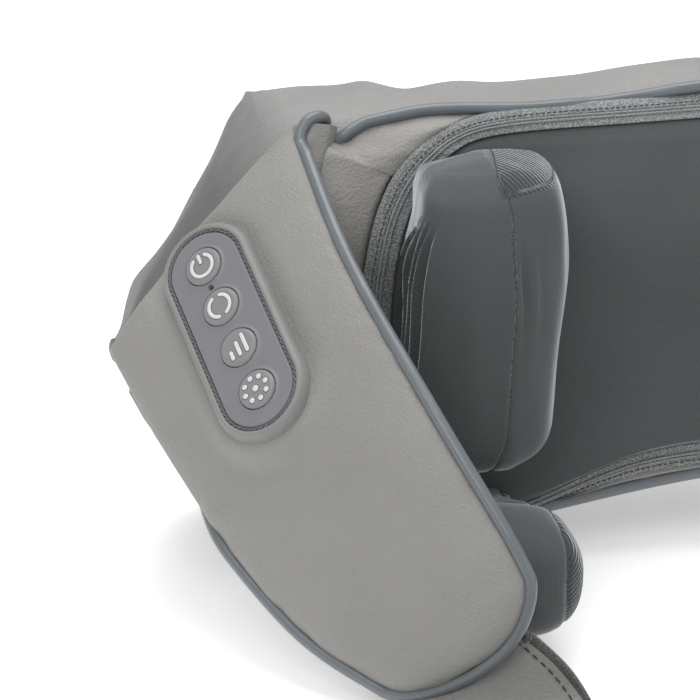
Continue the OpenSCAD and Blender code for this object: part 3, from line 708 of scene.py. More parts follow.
def panel_bulge(x, z, t):
    """How far the front cloth stands out of its plane. t is 0 in the middle and 1 at the zip."""
    pillow = 3.2 * (1 - t ** 2) * hump(x, 0, 62, 4)
    lower = 5.5 * (1 - smoothstep(30, 74, z)) * (1 - smoothstep(0.9, 1, t)) * hump(x, 0, 66, 4)
    return pillow + lower


def fabric_panel():
    inner = zip_loop(ZIP_WIDE - 1.0)
    middle = arr([0, 84])
    rows, ts = [], np.linspace(1, 0.0005, 80)
    for t in ts:
        xz = middle + (inner - middle) * t
        rows.append(on_front(xz, panel_bulge(xz[:, 0], xz[:, 1], t) + 0.4 - 2 * smoothstep(0.97, 1, t)))
    g = arr(rows)
    g[..., 1] += 0.35 * ripple(g, 46, 21) * (1 - ts[:, None] ** 4)
    rib = g[..., 0] * 0.5 + g[..., 2] * 0.86
    made = grid("front_cloth", g, KNIT, "base", wrap=True, rib=rib)
    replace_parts(made, "fabric_panel")
    return made


def zip_band(name, a, b, proud, material, rounded):
    rows = []
    for t in np.linspace(0, 1, 14):
        lift = proud * (1 - abs(2 * t - 1) ** 2.2) if rounded else proud * min(1, 6 * t, 6 * (1 - t)) ** 0.5
        rows.append(on_front(zip_loop(a + (b - a) * t), lift))
    g = arr(rows)
    n = g.shape[1]
    rib = np.repeat((np.arange(n) * 1.0)[None], len(g), 0) + np.linspace(0, 3, len(g))[:, None]
    return grid(name, g, material, "base", wrap=True, rib=rib, flip=True)


def zipper():
    made = zip_band("zip_tape_outer", -0.4, 4.4, 1.2, TAPE, False)
    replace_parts(made, "zipper_tape")
    zip_band("zip_tape_inner", 5.4, ZIP_WIDE + 0.6, 1.3, TAPE, False)
    zip_band("zip_coil_core", 3.6, 6.6, 1.6, TAPE, True)
    for k, (inset, lean) in enumerate(((4.3, 24), (5.7, -24))):
        path = on_front(zip_loop(inset, 900), 1.7)
        away = np.repeat(arr([[0, -1, 0]]), len(path), 0) + [0, 0, 0.15]
        stitches(f"zip_coil_{k}", path, unit(away), 1.0, (1.5, 0.7, 0.8), COIL, "base",
                 lean=lean, closed=True)
    path = on_front(zip_loop(2.4, 900), 1.25)
    away = np.repeat(arr([[0, -1, 0.1]]), len(path), 0)
    stitches("zip_tape_stitches", path, unit(away), 2.0, (1.5, 0.45, 0.4), THREAD, "base",
             closed=True)


def body_piping():
    xs = np.linspace(-137, 137, 240)
    edge = arr([(x, *body_section(x)[0]) for x in xs])
    tuck = smoothstep(128, 137, np.abs(xs))
    dip = hump(np.abs(xs), 34, 15, 4)
    edge[:, 1] += -1.2 + 4.5 * tuck + 2.0 * dip
    edge[:, 2] += 0.9 - 3.5 * tuck - 1.2 * dip
    made = tube("piping_body_top", edge, CORD_R, PIPING, "base")
    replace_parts(made, "piping_body")
    xs = np.concatenate([-np.linspace(203, 150, 60), np.linspace(-149, 149, 260), np.linspace(150, 203, 60)])
    low = arr([(x, *body_section(x)[-1]) for x in xs])
    low[:, 1] -= 1.0
    low[:, 2] = np.maximum(low[:, 2] - 1.6, 2.2)
    tube("piping_body_bottom", low, CORD_R, PIPING, "base")


# ---------------------------------------------------------------- wings

WING_IN = [(-146, 20, 151), (-138, -36, 122), (-120, -84, 88), (-103.5, -109.5, 59), (-97.5, -117, 46.5)]
WING_OUT = [(-211, 0, 83), (-198, -26, 61), (-181, -56, 37), (-160, -86, 17), (-138, -108, 7)]
TIP_REACH = 13.0
PAD_Z = unit((-0.59, -0.52, 0.60))
PAD_Y = unit(arr((-0.235, 0.807, 0.543)) - (arr((-0.235, 0.807, 0.543)) @ PAD_Z) * PAD_Z)
PAD_X = np.cross(PAD_Y, PAD_Z)
PAD_AT = arr((-176, -26.6, 99.5)) + 2.3 * PAD_X - 3.8 * PAD_Y
PAD_L, PAD_W = 77.0, 26.0


def wing_frame(u):
    """Middle, half width, and the run, across and normal directions of a wing at u."""
    inner, outer = spline(WING_IN, u), spline(WING_OUT, u)
    v = np.clip(u, 0.02, 0.98)
    mid = lambda w: (spline(WING_IN, w) + spline(WING_OUT, w)) / 2
    run = unit(mid(v + 0.02) - mid(v - 0.02))
    across = unit(inner - outer)
    normal = unit(np.cross(run, across))
    return (inner + outer) / 2, np.linalg.norm(inner - outer, axis=-1)[..., None] / 2, run, across, normal


def tip_ways(run, across_share):
    """The way the tip runs on from the inner edge (share 1), the outer edge (share -1) and between."""
    inner = unit(spline(WING_IN, arr(0.98)) - spline(WING_IN, arr(0.94))).ravel()
    outer = unit(spline(WING_OUT, arr(0.98)) - spline(WING_OUT, arr(0.94))).ravel()
    share = arr(across_share)[..., None]
    sides = inner * np.maximum(share, 0) + outer * np.maximum(-share, 0)
    return unit(sides + run * (1 - np.abs(share)))


def to_pad(p):
    return (p - PAD_AT) @ np.stack([PAD_X, PAD_Y, PAD_Z], 1)


def from_pad(q):
    return PAD_AT + arr(q) @ np.stack([PAD_X, PAD_Y, PAD_Z])


def stadium_gap(xy, length, width):
    """Distance outside a stadium's outline, negative inside."""
    y = np.maximum(np.abs(xy[..., 1]) - (length - width) / 2, 0)
    return np.hypot(xy[..., 0], y) - width / 2


def wing_skin(with_pad):
    """Rows of points of the left wing, from the crease to the tip."""
    m, n, tip = 200, 150, 16
    u = np.concatenate([np.linspace(0, 1, m), np.ones(tip)])
    turn = np.concatenate([np.zeros(m), np.linspace(0, 86, tip + 1)[1:]]) * math.pi / 180
    mid, half, run, across, normal = wing_frame(u)
    a = np.linspace(0, 2 * math.pi, n, endpoint=False)
    c, si = signed_power(np.cos(a), 0.75), signed_power(np.sin(a), 0.9)
    up = si[None] * np.where(si > 0, 8.0, 13.0)[None]
    start = 0.25 + 0.75 * np.sqrt(np.clip(1 - (1 - np.clip(u / 0.035, 0, 1)) ** 2, 0, 1))
    slim = np.cos(turn)
    ways = tip_ways(run[:, None], slim[:, None] * c[None])
    g = (mid[:, None] + ways * (TIP_REACH * np.sin(turn))[:, None, None]
         + across[:, None] * (half * slim[:, None])[:, None] * c[None, :, None]
         + normal[:, None] * (up * (np.sqrt(slim) * start)[:, None])[..., None])
    nrm = -grid_normals(g, wrap=True)
    nrm = np.where((nrm * normal[:, None]).sum(-1, keepdims=True) * np.sign(si)[None, :, None] < -0.2,
                   -nrm, nrm)
    edge = hump(np.abs(np.cos(a)), 1, 0.16)[None]
    pucker = ripple(g, 11, 31) * hump(np.abs(np.cos(a)), 0.93, 0.09)[None]
    calm = smoothstep(0.02, 0.2, u)[:, None]
    lumps = 0.35 * ripple(g, 70, 32) + 0.07 * ripple(g, 20, 33)
    top = (si > 0)[None] * 1.0
    crumple = ripple(g, 13, 34) * smoothstep(0.25, 0.6, u)[:, None] * smoothstep(
        0.45, 0.9, -np.cos(a))[None] * 0.35
    g = g + nrm * ((lumps * (1 - 0.5 * edge) + 0.22 * pucker * calm + crumple * top) * calm)[..., None]
    if with_pad:
        q = to_pad(g)
        gap = stadium_gap(q[..., :2], PAD_L + 7, PAD_W + 7)
        near = (q[..., 2] > -14) & (si > 0.05)[None]
        pull = (1 - smoothstep(0.5, 9, gap)) * near
        seat = -0.4 - 0.5 * hump(gap, 1.0, 1.6)
        g = g + PAD_Z * ((seat - q[..., 2]) * pull)[..., None]
    return g


def wing(s):
    side, m = SIDES[s]
    g = mirrored(wing_skin(s == "l"), m)
    made = grid(f"wing_leather_{s}", g, LEATHER, None, wrap=True, caps=True, flip=m < 0)
    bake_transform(made)
    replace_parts(made, f"wing_{s}")
    return made


def wing_edge():
    """The piping's path: curled at the top, down the inner edge, round the tip, up the outer edge."""
    curl = arr([(-135.5, 23.5, 149), (-135.8, 21, 153), (-138, 18.5, 154.7), (-142, 16.5, 154.2),
                (-144.8, 14.5, 151), (-145.4, 12, 147.6)])
    u = np.linspace(0.075, 1, 68)
    mid, half, run, across, normal = wing_frame(u)
    inner = mid + across * half + across * 0.9 + normal * 1.0
    a = np.linspace(0, math.pi, 22)[1:-1]
    e_mid, e_half, e_run, e_across, e_normal = (x[-1] for x in (mid, half, run, across, normal))
    tip = (e_mid + e_across * (e_half + 1.0) * np.cos(a)[:, None] + e_normal * 0.9
           + tip_ways(e_run, np.cos(a)) * (TIP_REACH + 1.2) * np.sin(a)[:, None])
    v = u[::-1]
    mid, half, run, across, normal = (x[::-1] for x in (mid, half, run, across, normal))
    under = (1 - smoothstep(0.24, 0.52, v))[:, None]
    outer = mid - across * (half + 1.2) + normal * 0.7 - normal * 9.0 * under + across * 5.5 * under
    return curve(np.vstack([curl, inner, tip, outer]), 420)


def piping_wing(s):
    side, m = SIDES[s]
    path = mirrored(wing_edge(), m)
    made = tube(f"piping_wing_{s}", path, CORD_R, PIPING, None)
    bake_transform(made)
    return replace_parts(made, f"piping_wing_{s}")


def crease_fold(s):
    """The pleat of leather that the wing's piping tucks behind at the top of the crease."""
    m = SIDES[s][1]
    line = curve([(-134.0, 17.5, 152.0), (-136.5, 13.5, 146), (-140.5, 8, 138), (-144, 2.5, 129),
                  (-143.5, -4, 120)], 40)
    back = curve([(-147, 19, 152.0), (-147.5, 15, 146), (-148, 9, 138), (-148, 3, 129), (-146, -3, 120)], 40)
    t = np.linspace(0, 1, 24)
    rows = []
    for k, (a, b) in enumerate(zip(line, back)):
        thick = 2.6 * (1 - k / 39) + 0.4
        x = b[None] + (a - b)[None] * np.minimum(t * 1.25, 1)[:, None]
        curl = smoothstep(0.6, 1.0, t)
        x = x + arr([-0.55, -0.72, 0.4])[None] * (thick * np.sin(math.pi * np.clip(t * 1.1, 0, 1))
                                                 - 3.2 * thick * curl ** 2 * 0.5)[:, None]
        rows.append(x)
    g = arr(rows)
    g = g + arr([-0.3, -0.8, 0.3]) * (0.35 * ripple(g, 8, 41))[..., None]
    return grid(f"crease_fold_{s}", mirrored(g, m), LEATHER, "base", flip=m < 0)


# ---------------------------------------------------------------- claws

CLAW_LOW, CLAW_TOP, CLAW_ROUND = 47.0, 147.6, 9.0
LEFT_N, RIGHT_N, BACK_N = 130, 72, 10


def seam_x(z):
    return between(z, [46, 50.6, 61, 78, 92, 105, 120, 129, 135, 142, 148, 152],
                   [-91, -89.9, -86.9, -86.2, -85.6, -84.8, -85.7, -86.3, -86, -87.2, -89, -90])


def claw_ring(z, inset=0.0):
    """The upper claw's outline at height z as [X, Y], from the back left round the front."""
    front = between(z, [46, 60, 74, 98, 121, 141, 149],
                    [-110.5, -114, -115.3, -113.8, -112, -110.5, -110]) + inset * 0.7
    back = between(z, [46, 62, 80, 95, 106, 117, 124, 130, 138, 149],
                   [-110, -112.3, -113.8, -113.5, -113.3, -112, -110, -108.5, -107.5, -107]) + inset * 0.7
    xr = between(z, [46, 58, 80, 100, 118, 135, 151], [-70, -66.5, -65, -63.6, -62.4, -63.2, -67]) - inset
    yf = between(z, [46, 60, 100, 126, 138, 149], [-42.5, -44.6, -45, -44, -42, -38]) + inset
    xs = seam_x(z) + (inset * 0.15)
    side = lambda t: back * (1 - t) + front * t
    rear = max(3.0, float(front_face(z)) + 2.5)
    deep = lambda t: rear + (yf - rear) * t
    left = curve([(back, rear), (side(0.2) - 0.8, deep(0.17)), (side(0.5) - 1.2, deep(0.38)),
                  (side(0.85) - 1.0, deep(0.61)), (front + 0.2, deep(0.76)), (front + 5, deep(0.88)),
                  ((front + xs) / 2 + 1, deep(0.97)), (xs, yf)], LEFT_N)
    right = curve([(xs, yf), (xs + 6, deep(0.953)), (xr - 6.0, deep(0.82)), (xr - 1.6, deep(0.62)),
                   (xr, deep(0.43)), (xr - 0.6, deep(0.19)), (xr - 1.5, rear)], RIGHT_N + 1)[1:]
    back = np.linspace(right[-1], left[0], BACK_N + 2)[1:-1]
    return np.vstack([left, right, back])


def upper_claw_skin():
    """Rows of points from the middle of the claw's underside to the middle of its top."""
    low, top, r = CLAW_LOW, CLAW_TOP, CLAW_ROUND
    full_inset = r * 0.92

    def level(xy, z):
        return np.column_stack([xy, np.full(len(xy), z)])

    def cap(z, ring, sign):
        mid = arr([-88.5, -19])
        return [level(mid + (ring - mid) * t, z + sign * 0.9 * (1 - t ** 2))
                for t in np.linspace(0.04, 0.97, 18)]

    def rounding(z, sign):
        """Rings of the rounded edge, from the cap at z to the claw's side."""
        made = []
        for b in np.linspace(0, math.pi / 2, 16):
            up = z + sign * (r * (1 - math.cos(b)))
            made.append(level(claw_ring(up, r * (1 - math.sin(b)) * 0.92), up))
        return made

    side = [level(claw_ring(z), z) for z in np.linspace(low + r, top - r, 76)[1:-1]]
    return arr(cap(low, claw_ring(low + 0.1, full_inset), -1) + rounding(low, 1) + side
               + rounding(top, -1)[::-1] + cap(top, claw_ring(top - 0.1, full_inset), 1)[::-1])


def upper_claw(s):
    side, m = SIDES[s]
    g = upper_claw_skin()
    n = outward(g, (-88.5, -15, 98))
    x, y, z = g[..., 0], g[..., 1], g[..., 2]
    from_seam = x - seam_x(z)
    front = smoothstep(-14, -30, y) * (1 - smoothstep(140, 148, z))
    groove = -0.7 * hump(from_seam, 0, 0.8) * front
    puff = (hump(from_seam, -15, 12) + 0.5 * hump(from_seam, 9, 6)) * front
    tuck = hump(z, 112, 16) * front
    crease = (-1.8 * hump(from_seam, 3.2, 1.3) + hump(from_seam, 6.2, 1.8)) * tuck
    pleats = claw_pleats(x, y, z)
    broad = 0.5 * ripple(g, 42, 51) + 0.12 * ripple(g, 13, 52, (1, 1, 2))
    g = g + n * (groove + puff + crease + pleats + broad)[..., None]
    g[..., 2] -= 3.0 * smoothstep(-88, -108, x) * smoothstep(118, 147, z)
    g[..., 2] -= 0.3 * np.maximum(y + 8, 0) * smoothstep(108, 138, z)
    on_top = z > CLAW_TOP - 5
    turn = np.where(on_top & (from_seam > 0), 0.75 * np.hypot(x + 190, y + 120),
                    np.where(from_seam < 0, x * 0.72 - y * 0.3 + z * 0.42, x * 0.5 + z * 0.62 + y * 0.4))
    made = grid(f"upper_claw_cover_{s}", mirrored(g, m), KNIT, None, wrap=True, caps=True, rib=turn,
                flip=m > 0)
    made.data.materials.append(KNIT_BOLD)
    centre = lambda v: (v[:-1] + np.roll(v, -1, 1)[1:]) / 2
    lean = centre(x) - top_seam_x(centre(y))
    bold = ((lean > 0) & (centre(z) > CLAW_TOP - 6)).ravel()
    made.data.polygons.foreach_set("material_index", np.concatenate([bold.astype(int), [0, 0]]))
    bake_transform(made)
    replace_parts(made, f"upper_claw_pad_{s}")
    keep = (y[:, LEFT_N - 1] < -30) & (z[:, LEFT_N - 1] < CLAW_TOP - 1)
    up_front = np.hstack([g[keep, LEFT_N - 1], n[keep, LEFT_N - 1]])
    back_y = np.linspace(up_front[-1, 1] + 1, -4, 30)
    spots = arr([top_seam_x(back_y), back_y]).T
    flat = g[z > CLAW_TOP - 3]
    near = [flat[np.argmin(((flat[:, :2] - q) ** 2).sum(1))][2] for q in spots]
    over = np.column_stack([spots, near, np.zeros(30), np.zeros(30), np.ones(30)])
    path = np.vstack([up_front, over])
    seam = stitches(f"upper_claw_seam_{s}", mirrored(path[:, :3] + path[:, 3:] * 0.05, m),
                    mirrored(path[:, 3:], m), 1.3, (1.0, 0.42, 0.4), THREAD, None, lean=16 * m)
    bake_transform(seam)


def top_seam_x(y):
    """The seam over the claw's top, from its front edge back to the panel."""
    return -89.5 + 3.5 * smoothstep(-40, -4, y)


def claw_pleats(x, y, z):
    """Gathers in the cover's outer side. They fan out from its upper front corner, with sharp valleys."""
    spread = 7 + 32 * smoothstep(140, 106, z)
    across = (y + 35) / spread
    valley = np.zeros_like(y)
    for at, deep, wide in ((0.12, 2.6, 0.05), (0.36, 4.2, 0.07), (0.60, 4.6, 0.07), (0.85, 3.4, 0.06)):
        bend = at + 0.03 * np.sin(z / 9.0 + 7 * at)
        valley = np.maximum(valley, deep * spread / 39 * np.exp(-np.abs((across - bend) / wide) ** 1.5))
    round_tops = 1.4 * spread / 39 * np.cos((across - 0.48) * 2 * math.pi / 0.245)
    tall = smoothstep(60, 84, z) * (1 - smoothstep(124, 140, z))
    fan = smoothstep(-0.1, 0.05, across) * (1 - smoothstep(0.95, 1.15, across))
    return (round_tops - valley) * tall * smoothstep(-98, -106, x) * fan


# Stations of the low claw as (Y, middle Z, half width, half height).
LOWER = [(3, 20, 14.5, 6.0), (-8, 20.5, 15.5, 6.8), (-20, 22.0, 16.5, 8.8), (-35, 24.2, 17.0, 11.6),
         (-50, 26.4, 17.6, 14.6), (-62, 28.8, 18.4, 17.4), (-72, 30.2, 18.9, 19.2), (-82, 30.2, 18.8, 19.4),
         (-89, 29.8, 17.2, 17.6), (-94, 29.2, 13.6, 13.6), (-97, 28.8, 8.6, 8.4), (-98.4, 28.8, 2.0, 2.0)]
LOWER_X, LOWER_SEAM = -90.0, -78.5


def lower_claw_skin():
    """Rows of points round the low claw, from the body to its tip."""
    n, square = 120, 0.82
    keys = curve(LOWER, 110)
    a = np.linspace(0, 2 * math.pi, n, endpoint=False)
    c, si = signed_power(np.cos(a), square), signed_power(np.sin(a), square)
    y, cz, hw, hh = (keys[:, k, None] for k in range(4))
    return np.stack([LOWER_X + hw * c, np.repeat(y, n, 1), cz + hh * si], -1)


def lower_claw(s):
    side, m = SIDES[s]
    g = lower_claw_skin()
    n = outward(g, (LOWER_X, -60, 30))
    from_seam = g[..., 0] - LOWER_SEAM
    groove = -0.6 * hump(from_seam, 0, 0.9)
    tucks = 0.5 * ripple(g, 9, 61, (1, 3, 1)) * smoothstep(-70, -40, g[..., 1])
    g = g + n * (groove + 0.45 * ripple(g, 30, 62) + tucks)[..., None]
    rib = np.where(from_seam < 0, g[..., 0] * 0.9 + g[..., 1] * 0.35, g[..., 2] * 0.8 - g[..., 1] * 0.6)
    made = grid(f"lower_claw_cover_{s}", mirrored(g, m), KNIT, None, wrap=True, caps=True, rib=rib,
                flip=m > 0)
    made.data.materials.append(KNIT_BOLD)
    rows = len(g)
    mid = (from_seam[:-1] + from_seam[1:]) / 2
    index = np.concatenate([(mid > 0).astype(int).ravel(), [0, 0]])
    made.data.polygons.foreach_set("material_index", index)
    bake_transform(made)
    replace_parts(made, f"lower_claw_pad_{s}")
    path = []
    for k in list(range(4, rows)) + list(range(rows - 1, rows // 2, -1)):
        upper = len(path) < rows - 4
        ring, rn = g[k], n[k]
        pick = (ring[:, 2] > ring[:, 2].mean()) == upper
        if ring[:, 0].max() < LOWER_SEAM + 1.0:
            continue
        j = np.argmin(np.abs(ring[:, 0] - LOWER_SEAM) + 99 * ~pick)
        path.append(np.append(ring[j], rn[j]))
    path = arr(path)
    seam = stitches(f"lower_claw_seam_{s}", mirrored(path[:, :3], m), mirrored(path[:, 3:], m), 1.55,
                    (1.25, 0.5, 0.45), THREAD, None, lean=16 * m)
    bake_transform(seam)


# ---------------------------------------------------------------- control pad

PITCH, KEY_R = 17.4, 6.6
PLATE_TOP, KEY_TOP = 3.15, 4.4    # heights over the wing
KEY_NAMES = ("power", "mode", "strength", "heat")


def key_y(i):
    return (1.5 - i) * PITCH


LED = (-0.7, key_y(0.5) + 0.3)    # X and Y of the lamp window on the pad
LED_TOP = 1.95


def stadium_path(grow, n=260):
    r = PAD_W / 2 + grow
    straight = (PAD_L - PAD_W) / 2
    a = np.linspace(0, math.pi, 70)
    top = np.column_stack([r * np.cos(a), straight + r * np.sin(a)])
    return even(np.vstack([top, -top]), n, closed=True)


def pad_ring(name, profile, material):
    """Sweeps (outward offset, height) points round the pad."""
    rows = [np.column_stack([stadium_path(o), np.full(260, h)]) for o, h in profile]
    return grid(name, from_pad(arr(rows)), material, "wing_left", wrap=True, flip=True)


def pad_rim():
    keys = [(4.4, -1.8), (4.15, 0.0), (3.8, 1.4), (3.2, 2.6), (2.4, 3.25), (1.7, 3.3), (1.3, 2.95),
            (1.2, 2.3), (0.95, 1.95), (0.6, 1.9), (0.25, 2.1), (0.1, 2.6)]
    made = pad_ring("pad_rim", curve(keys, 44), RIM)
    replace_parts(made, "control_pad")
    n = 620
    base = np.column_stack([stadium_path(0.68, n), np.full(n, 2.45)])
    t = unit(np.roll(base, -1, 0) - np.roll(base, 1, 0))
    side_way = np.cross(t, [0, 0, 1])
    turn = np.arange(n) / n * 2 * math.pi * 46
    for k in range(2):
        a = turn + k * math.pi
        strand = base + 0.34 * (np.cos(a)[:, None] * side_way + np.sin(a)[:, None] * arr([0, 0, 0.8]))
        tube(f"pad_thread_{k}", from_pad(strand), 0.27, THREAD_PALE, "wing_left", sides=7,
             closed=True)


def pad_plate():
    """The plate inside the rim, with a moat and a lip round each key."""
    half = PAD_W / 2 + 0.2
    a = np.linspace(-math.pi / 2, math.pi / 2, 300)
    straight = (PAD_L - PAD_W) / 2
    y = np.sort(np.concatenate([np.linspace(-straight, straight, 230),
                                straight + half * np.sin(a[a > 0][::3]),
                                -straight + half * np.sin(a[a < 0][::3])]))
    over = np.maximum(np.abs(y) - straight, 0)
    wide = np.sqrt(np.maximum(half ** 2 - over ** 2, 1e-4))
    u = np.sin(np.linspace(-1, 1, 121) * math.pi / 2 * 0.94) / math.sin(math.pi / 2 * 0.94)
    g = np.stack([wide[:, None] * u[None], np.repeat(y[:, None], 121, 1), np.zeros((len(y), 121))], -1)
    h = np.full(g.shape[:2], PLATE_TOP)
    gap = stadium_gap(g[..., :2], PAD_L + 0.4, PAD_W + 0.4)
    h -= 0.9 * smoothstep(-0.7, -0.05, gap)
    for i in range(4):
        d = np.hypot(g[..., 0], g[..., 1] - key_y(i))
        h += 0.55 * np.exp(-(np.maximum(d - KEY_R - 0.2, 0) / 0.8) ** 2)
        h -= 2.2 * (1 - smoothstep(KEY_R - 0.1, KEY_R + 0.3, d))
    hole = np.hypot(g[..., 0] - LED[0], g[..., 1] - LED[1])
    h -= 1.8 * (1 - smoothstep(0.75, 1.05, hole))
    g[..., 2] = h
    grid("pad_plate", from_pad(g), PLATE, "wing_left")


def led():
    a = np.linspace(0, 2 * math.pi, 32, endpoint=False)
    rows = [[(LED[0] + r * math.cos(b), LED[1] + r * math.sin(b), z) for b in a]
            for r, z in ((0.95, 0.4), (0.95, 1.5), (0.8, 1.75), (0.5, 1.9), (0.05, LED_TOP))]
    made = grid("led_window", from_pad(arr(rows)), LENS, "wing_left", wrap=True, caps=True)
    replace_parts(made, "led_lens")


def key_cap(i):
    a = np.linspace(0, 2 * math.pi, 72, endpoint=False)
    profile = curve([(KEY_R, 1.0), (KEY_R, 3.2), (KEY_R - 0.15, 3.75), (KEY_R - 0.55, 4.15),
                     (KEY_R - 1.2, 4.36), (KEY_R - 2.0, KEY_TOP), (2.4, 4.38), (0.05, 4.38)], 44)
    rows = [[(r * math.cos(b), key_y(i) + r * math.sin(b), z) for b in a] for r, z in profile]
    body = f"{KEY_NAMES[i]}_key"
    made = grid(f"key_{KEY_NAMES[i]}", from_pad(arr(rows)), KEYS, body, wrap=True, caps=True)
    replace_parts(made, f"button_{KEY_NAMES[i]}")


def icon_stroke(name, path, width, body, i):
    """One printed, slightly raised stroke of an icon, over a slightly wider dark strip that is painted shade
    for the groove round it.
    """
    p = arr(path)
    # The gap part is a wider dark strip of painted shade just under the ink.
    for part, grow, z, lift, mat in (("gap", 0.24, 4.34, 0.1, ICON_GAP_SHADE), ("ink", 0.0, KEY_TOP, 0.24, ICON)):
        flat = np.column_stack([p[:, 0], key_y(i) + p[:, 1], np.full(len(p), z)])
        if len(flat) == 1:
            flat = np.vstack([flat - [0.02, 0, 0], flat + [0.02, 0, 0]])
        t = unit(np.gradient(flat, axis=0))
        s = np.cross(t, [0, 0, 1])
        r = width / 2 + grow
        b = np.linspace(0, math.pi / 2, 6)
        stations = ([(flat[0] - t[0] * r * math.cos(x), s[0], r * math.sin(x)) for x in b[:-1]]
                    + [(c, way, r) for c, way in zip(flat, s)]
                    + [(flat[-1] + t[-1] * r * math.cos(x), s[-1], r * math.sin(x)) for x in b[-2::-1]])
        section = ((-1, -0.4), (-1, lift * 0.7), (-0.8, lift), (0.8, lift), (1, lift * 0.7), (1, -0.4))
        rows = [[c + way * max(w, 0.02) * out + [0, 0, up] for out, up in section]
                for c, way, w in stations]
        grid(f"{name}_{part}", from_pad(arr(rows)), mat, body, wrap=True, caps=True)


def arc(r, a0, a1):
    a = np.radians(np.linspace(a0, a1, 40))
    return np.column_stack([r * np.cos(a), r * np.sin(a)])


def icons():
    power, mode, strength, heat = (f"{k}_key" for k in KEY_NAMES)
    icon_stroke("icon_power_ring", arc(3.9, 126, 414), 1.2, power, 0)
    icon_stroke("icon_power_bar", [(0, 1.3), (0, 2.6), (0, 3.9)], 1.2, power, 0)
    for k in range(2):
        icon_stroke(f"icon_mode_{k}", arc(3.9, 180 * k - 68, 180 * k + 68), 1.25, mode, 1)
    for k, tall in enumerate((2.2, 4.5, 6.1)):
        x = (k - 1) * 2.8
        icon_stroke(f"icon_bars_{k}", [(x, -3.1), (x, -3.1 + tall / 2), (x, -3.1 + tall)], 1.35, strength, 2)
    icon_stroke("icon_dot_middle", [(0, 0)], 2.2, heat, 3)
    for k in range(8):
        a = math.radians(45 * k + 6)
        icon_stroke(f"icon_dot_{k}", [(4.1 * math.cos(a), 4.1 * math.sin(a))], 1.8, heat, 3)


def control_pad():
    pad_rim()
    pad_plate()
    led()
    for i in range(4):
        key_cap(i)
    icons()


# ---------------------------------------------------------------- straps and zip slider

STRAP_X, STRAP_Y, STRAP_TURN, STRAP_W, STRAP_T = -104.0, -134.0, math.radians(8), 58.0, 3.0
LOOP_FROM, LOOP_TO, LOOP_H = -250.0, -336.0, 30.0
STRAP_ACROSS = arr([math.cos(STRAP_TURN), math.sin(STRAP_TURN), 0])
STRAP_RUN = arr([math.sin(STRAP_TURN), -math.cos(STRAP_TURN), 0])


def strap_line():
    """The strap's middle line, and the direction across it, from the wing tip to its sewn end."""
    mid, _, _, across, normal = (x[0] for x in wing_frame(arr([0.95])))
    half_t = STRAP_T / 2
    begin = mid - normal * 7
    end = arr([STRAP_X, STRAP_Y, half_t])
    points, ways = [], []
    for u in np.linspace(0, 1, 30):
        turned = smoothstep(0, 1, u)
        a = unit(across * (1 - turned) + STRAP_ACROSS * turned)
        low = half_t + 0.15 + STRAP_W / 2 * abs(a[2])
        sunk = begin[2] + (end[2] - begin[2]) * smoothstep(0, 1, 1.1 * u)
        p = arr([begin[0] + (end[0] - begin[0]) * turned, begin[1] + (end[1] - begin[1]) * u,
                 max(sunk, low + 3 * u * (1 - u))])
        points.append(p)
        ways.append(a)
    r = (LOOP_H - STRAP_T) / 2
    flat = [(y, half_t + 0.1) for y in np.linspace(STRAP_Y - 4, LOOP_TO + r, 60)]
    bend = [(LOOP_TO + r - r * math.sin(a), half_t + 0.1 + r * (1 - math.cos(a)))
            for a in np.linspace(0.15, math.pi - 0.15, 16)]
    sewn = half_t + STRAP_T + 0.25
    back = [(LOOP_TO + r + t * (LOOP_FROM - LOOP_TO - r), sewn + (half_t + 2 * r - sewn) * (1 - t * t))
            for t in np.linspace(0, 1, 26)]
    lap = [(LOOP_FROM + d, sewn) for d in (6, 12, 18, 24)]
    for y, z in flat + bend + back + lap:
        p = arr([STRAP_X, STRAP_Y, 0]) + STRAP_RUN * (STRAP_Y - y) + arr([0, 0, z])
        points.append(p)
        ways.append(STRAP_ACROSS)
    both = even(np.hstack([arr(points), arr(ways)]), 520)
    return both[:, :3], unit(both[:, 3:])


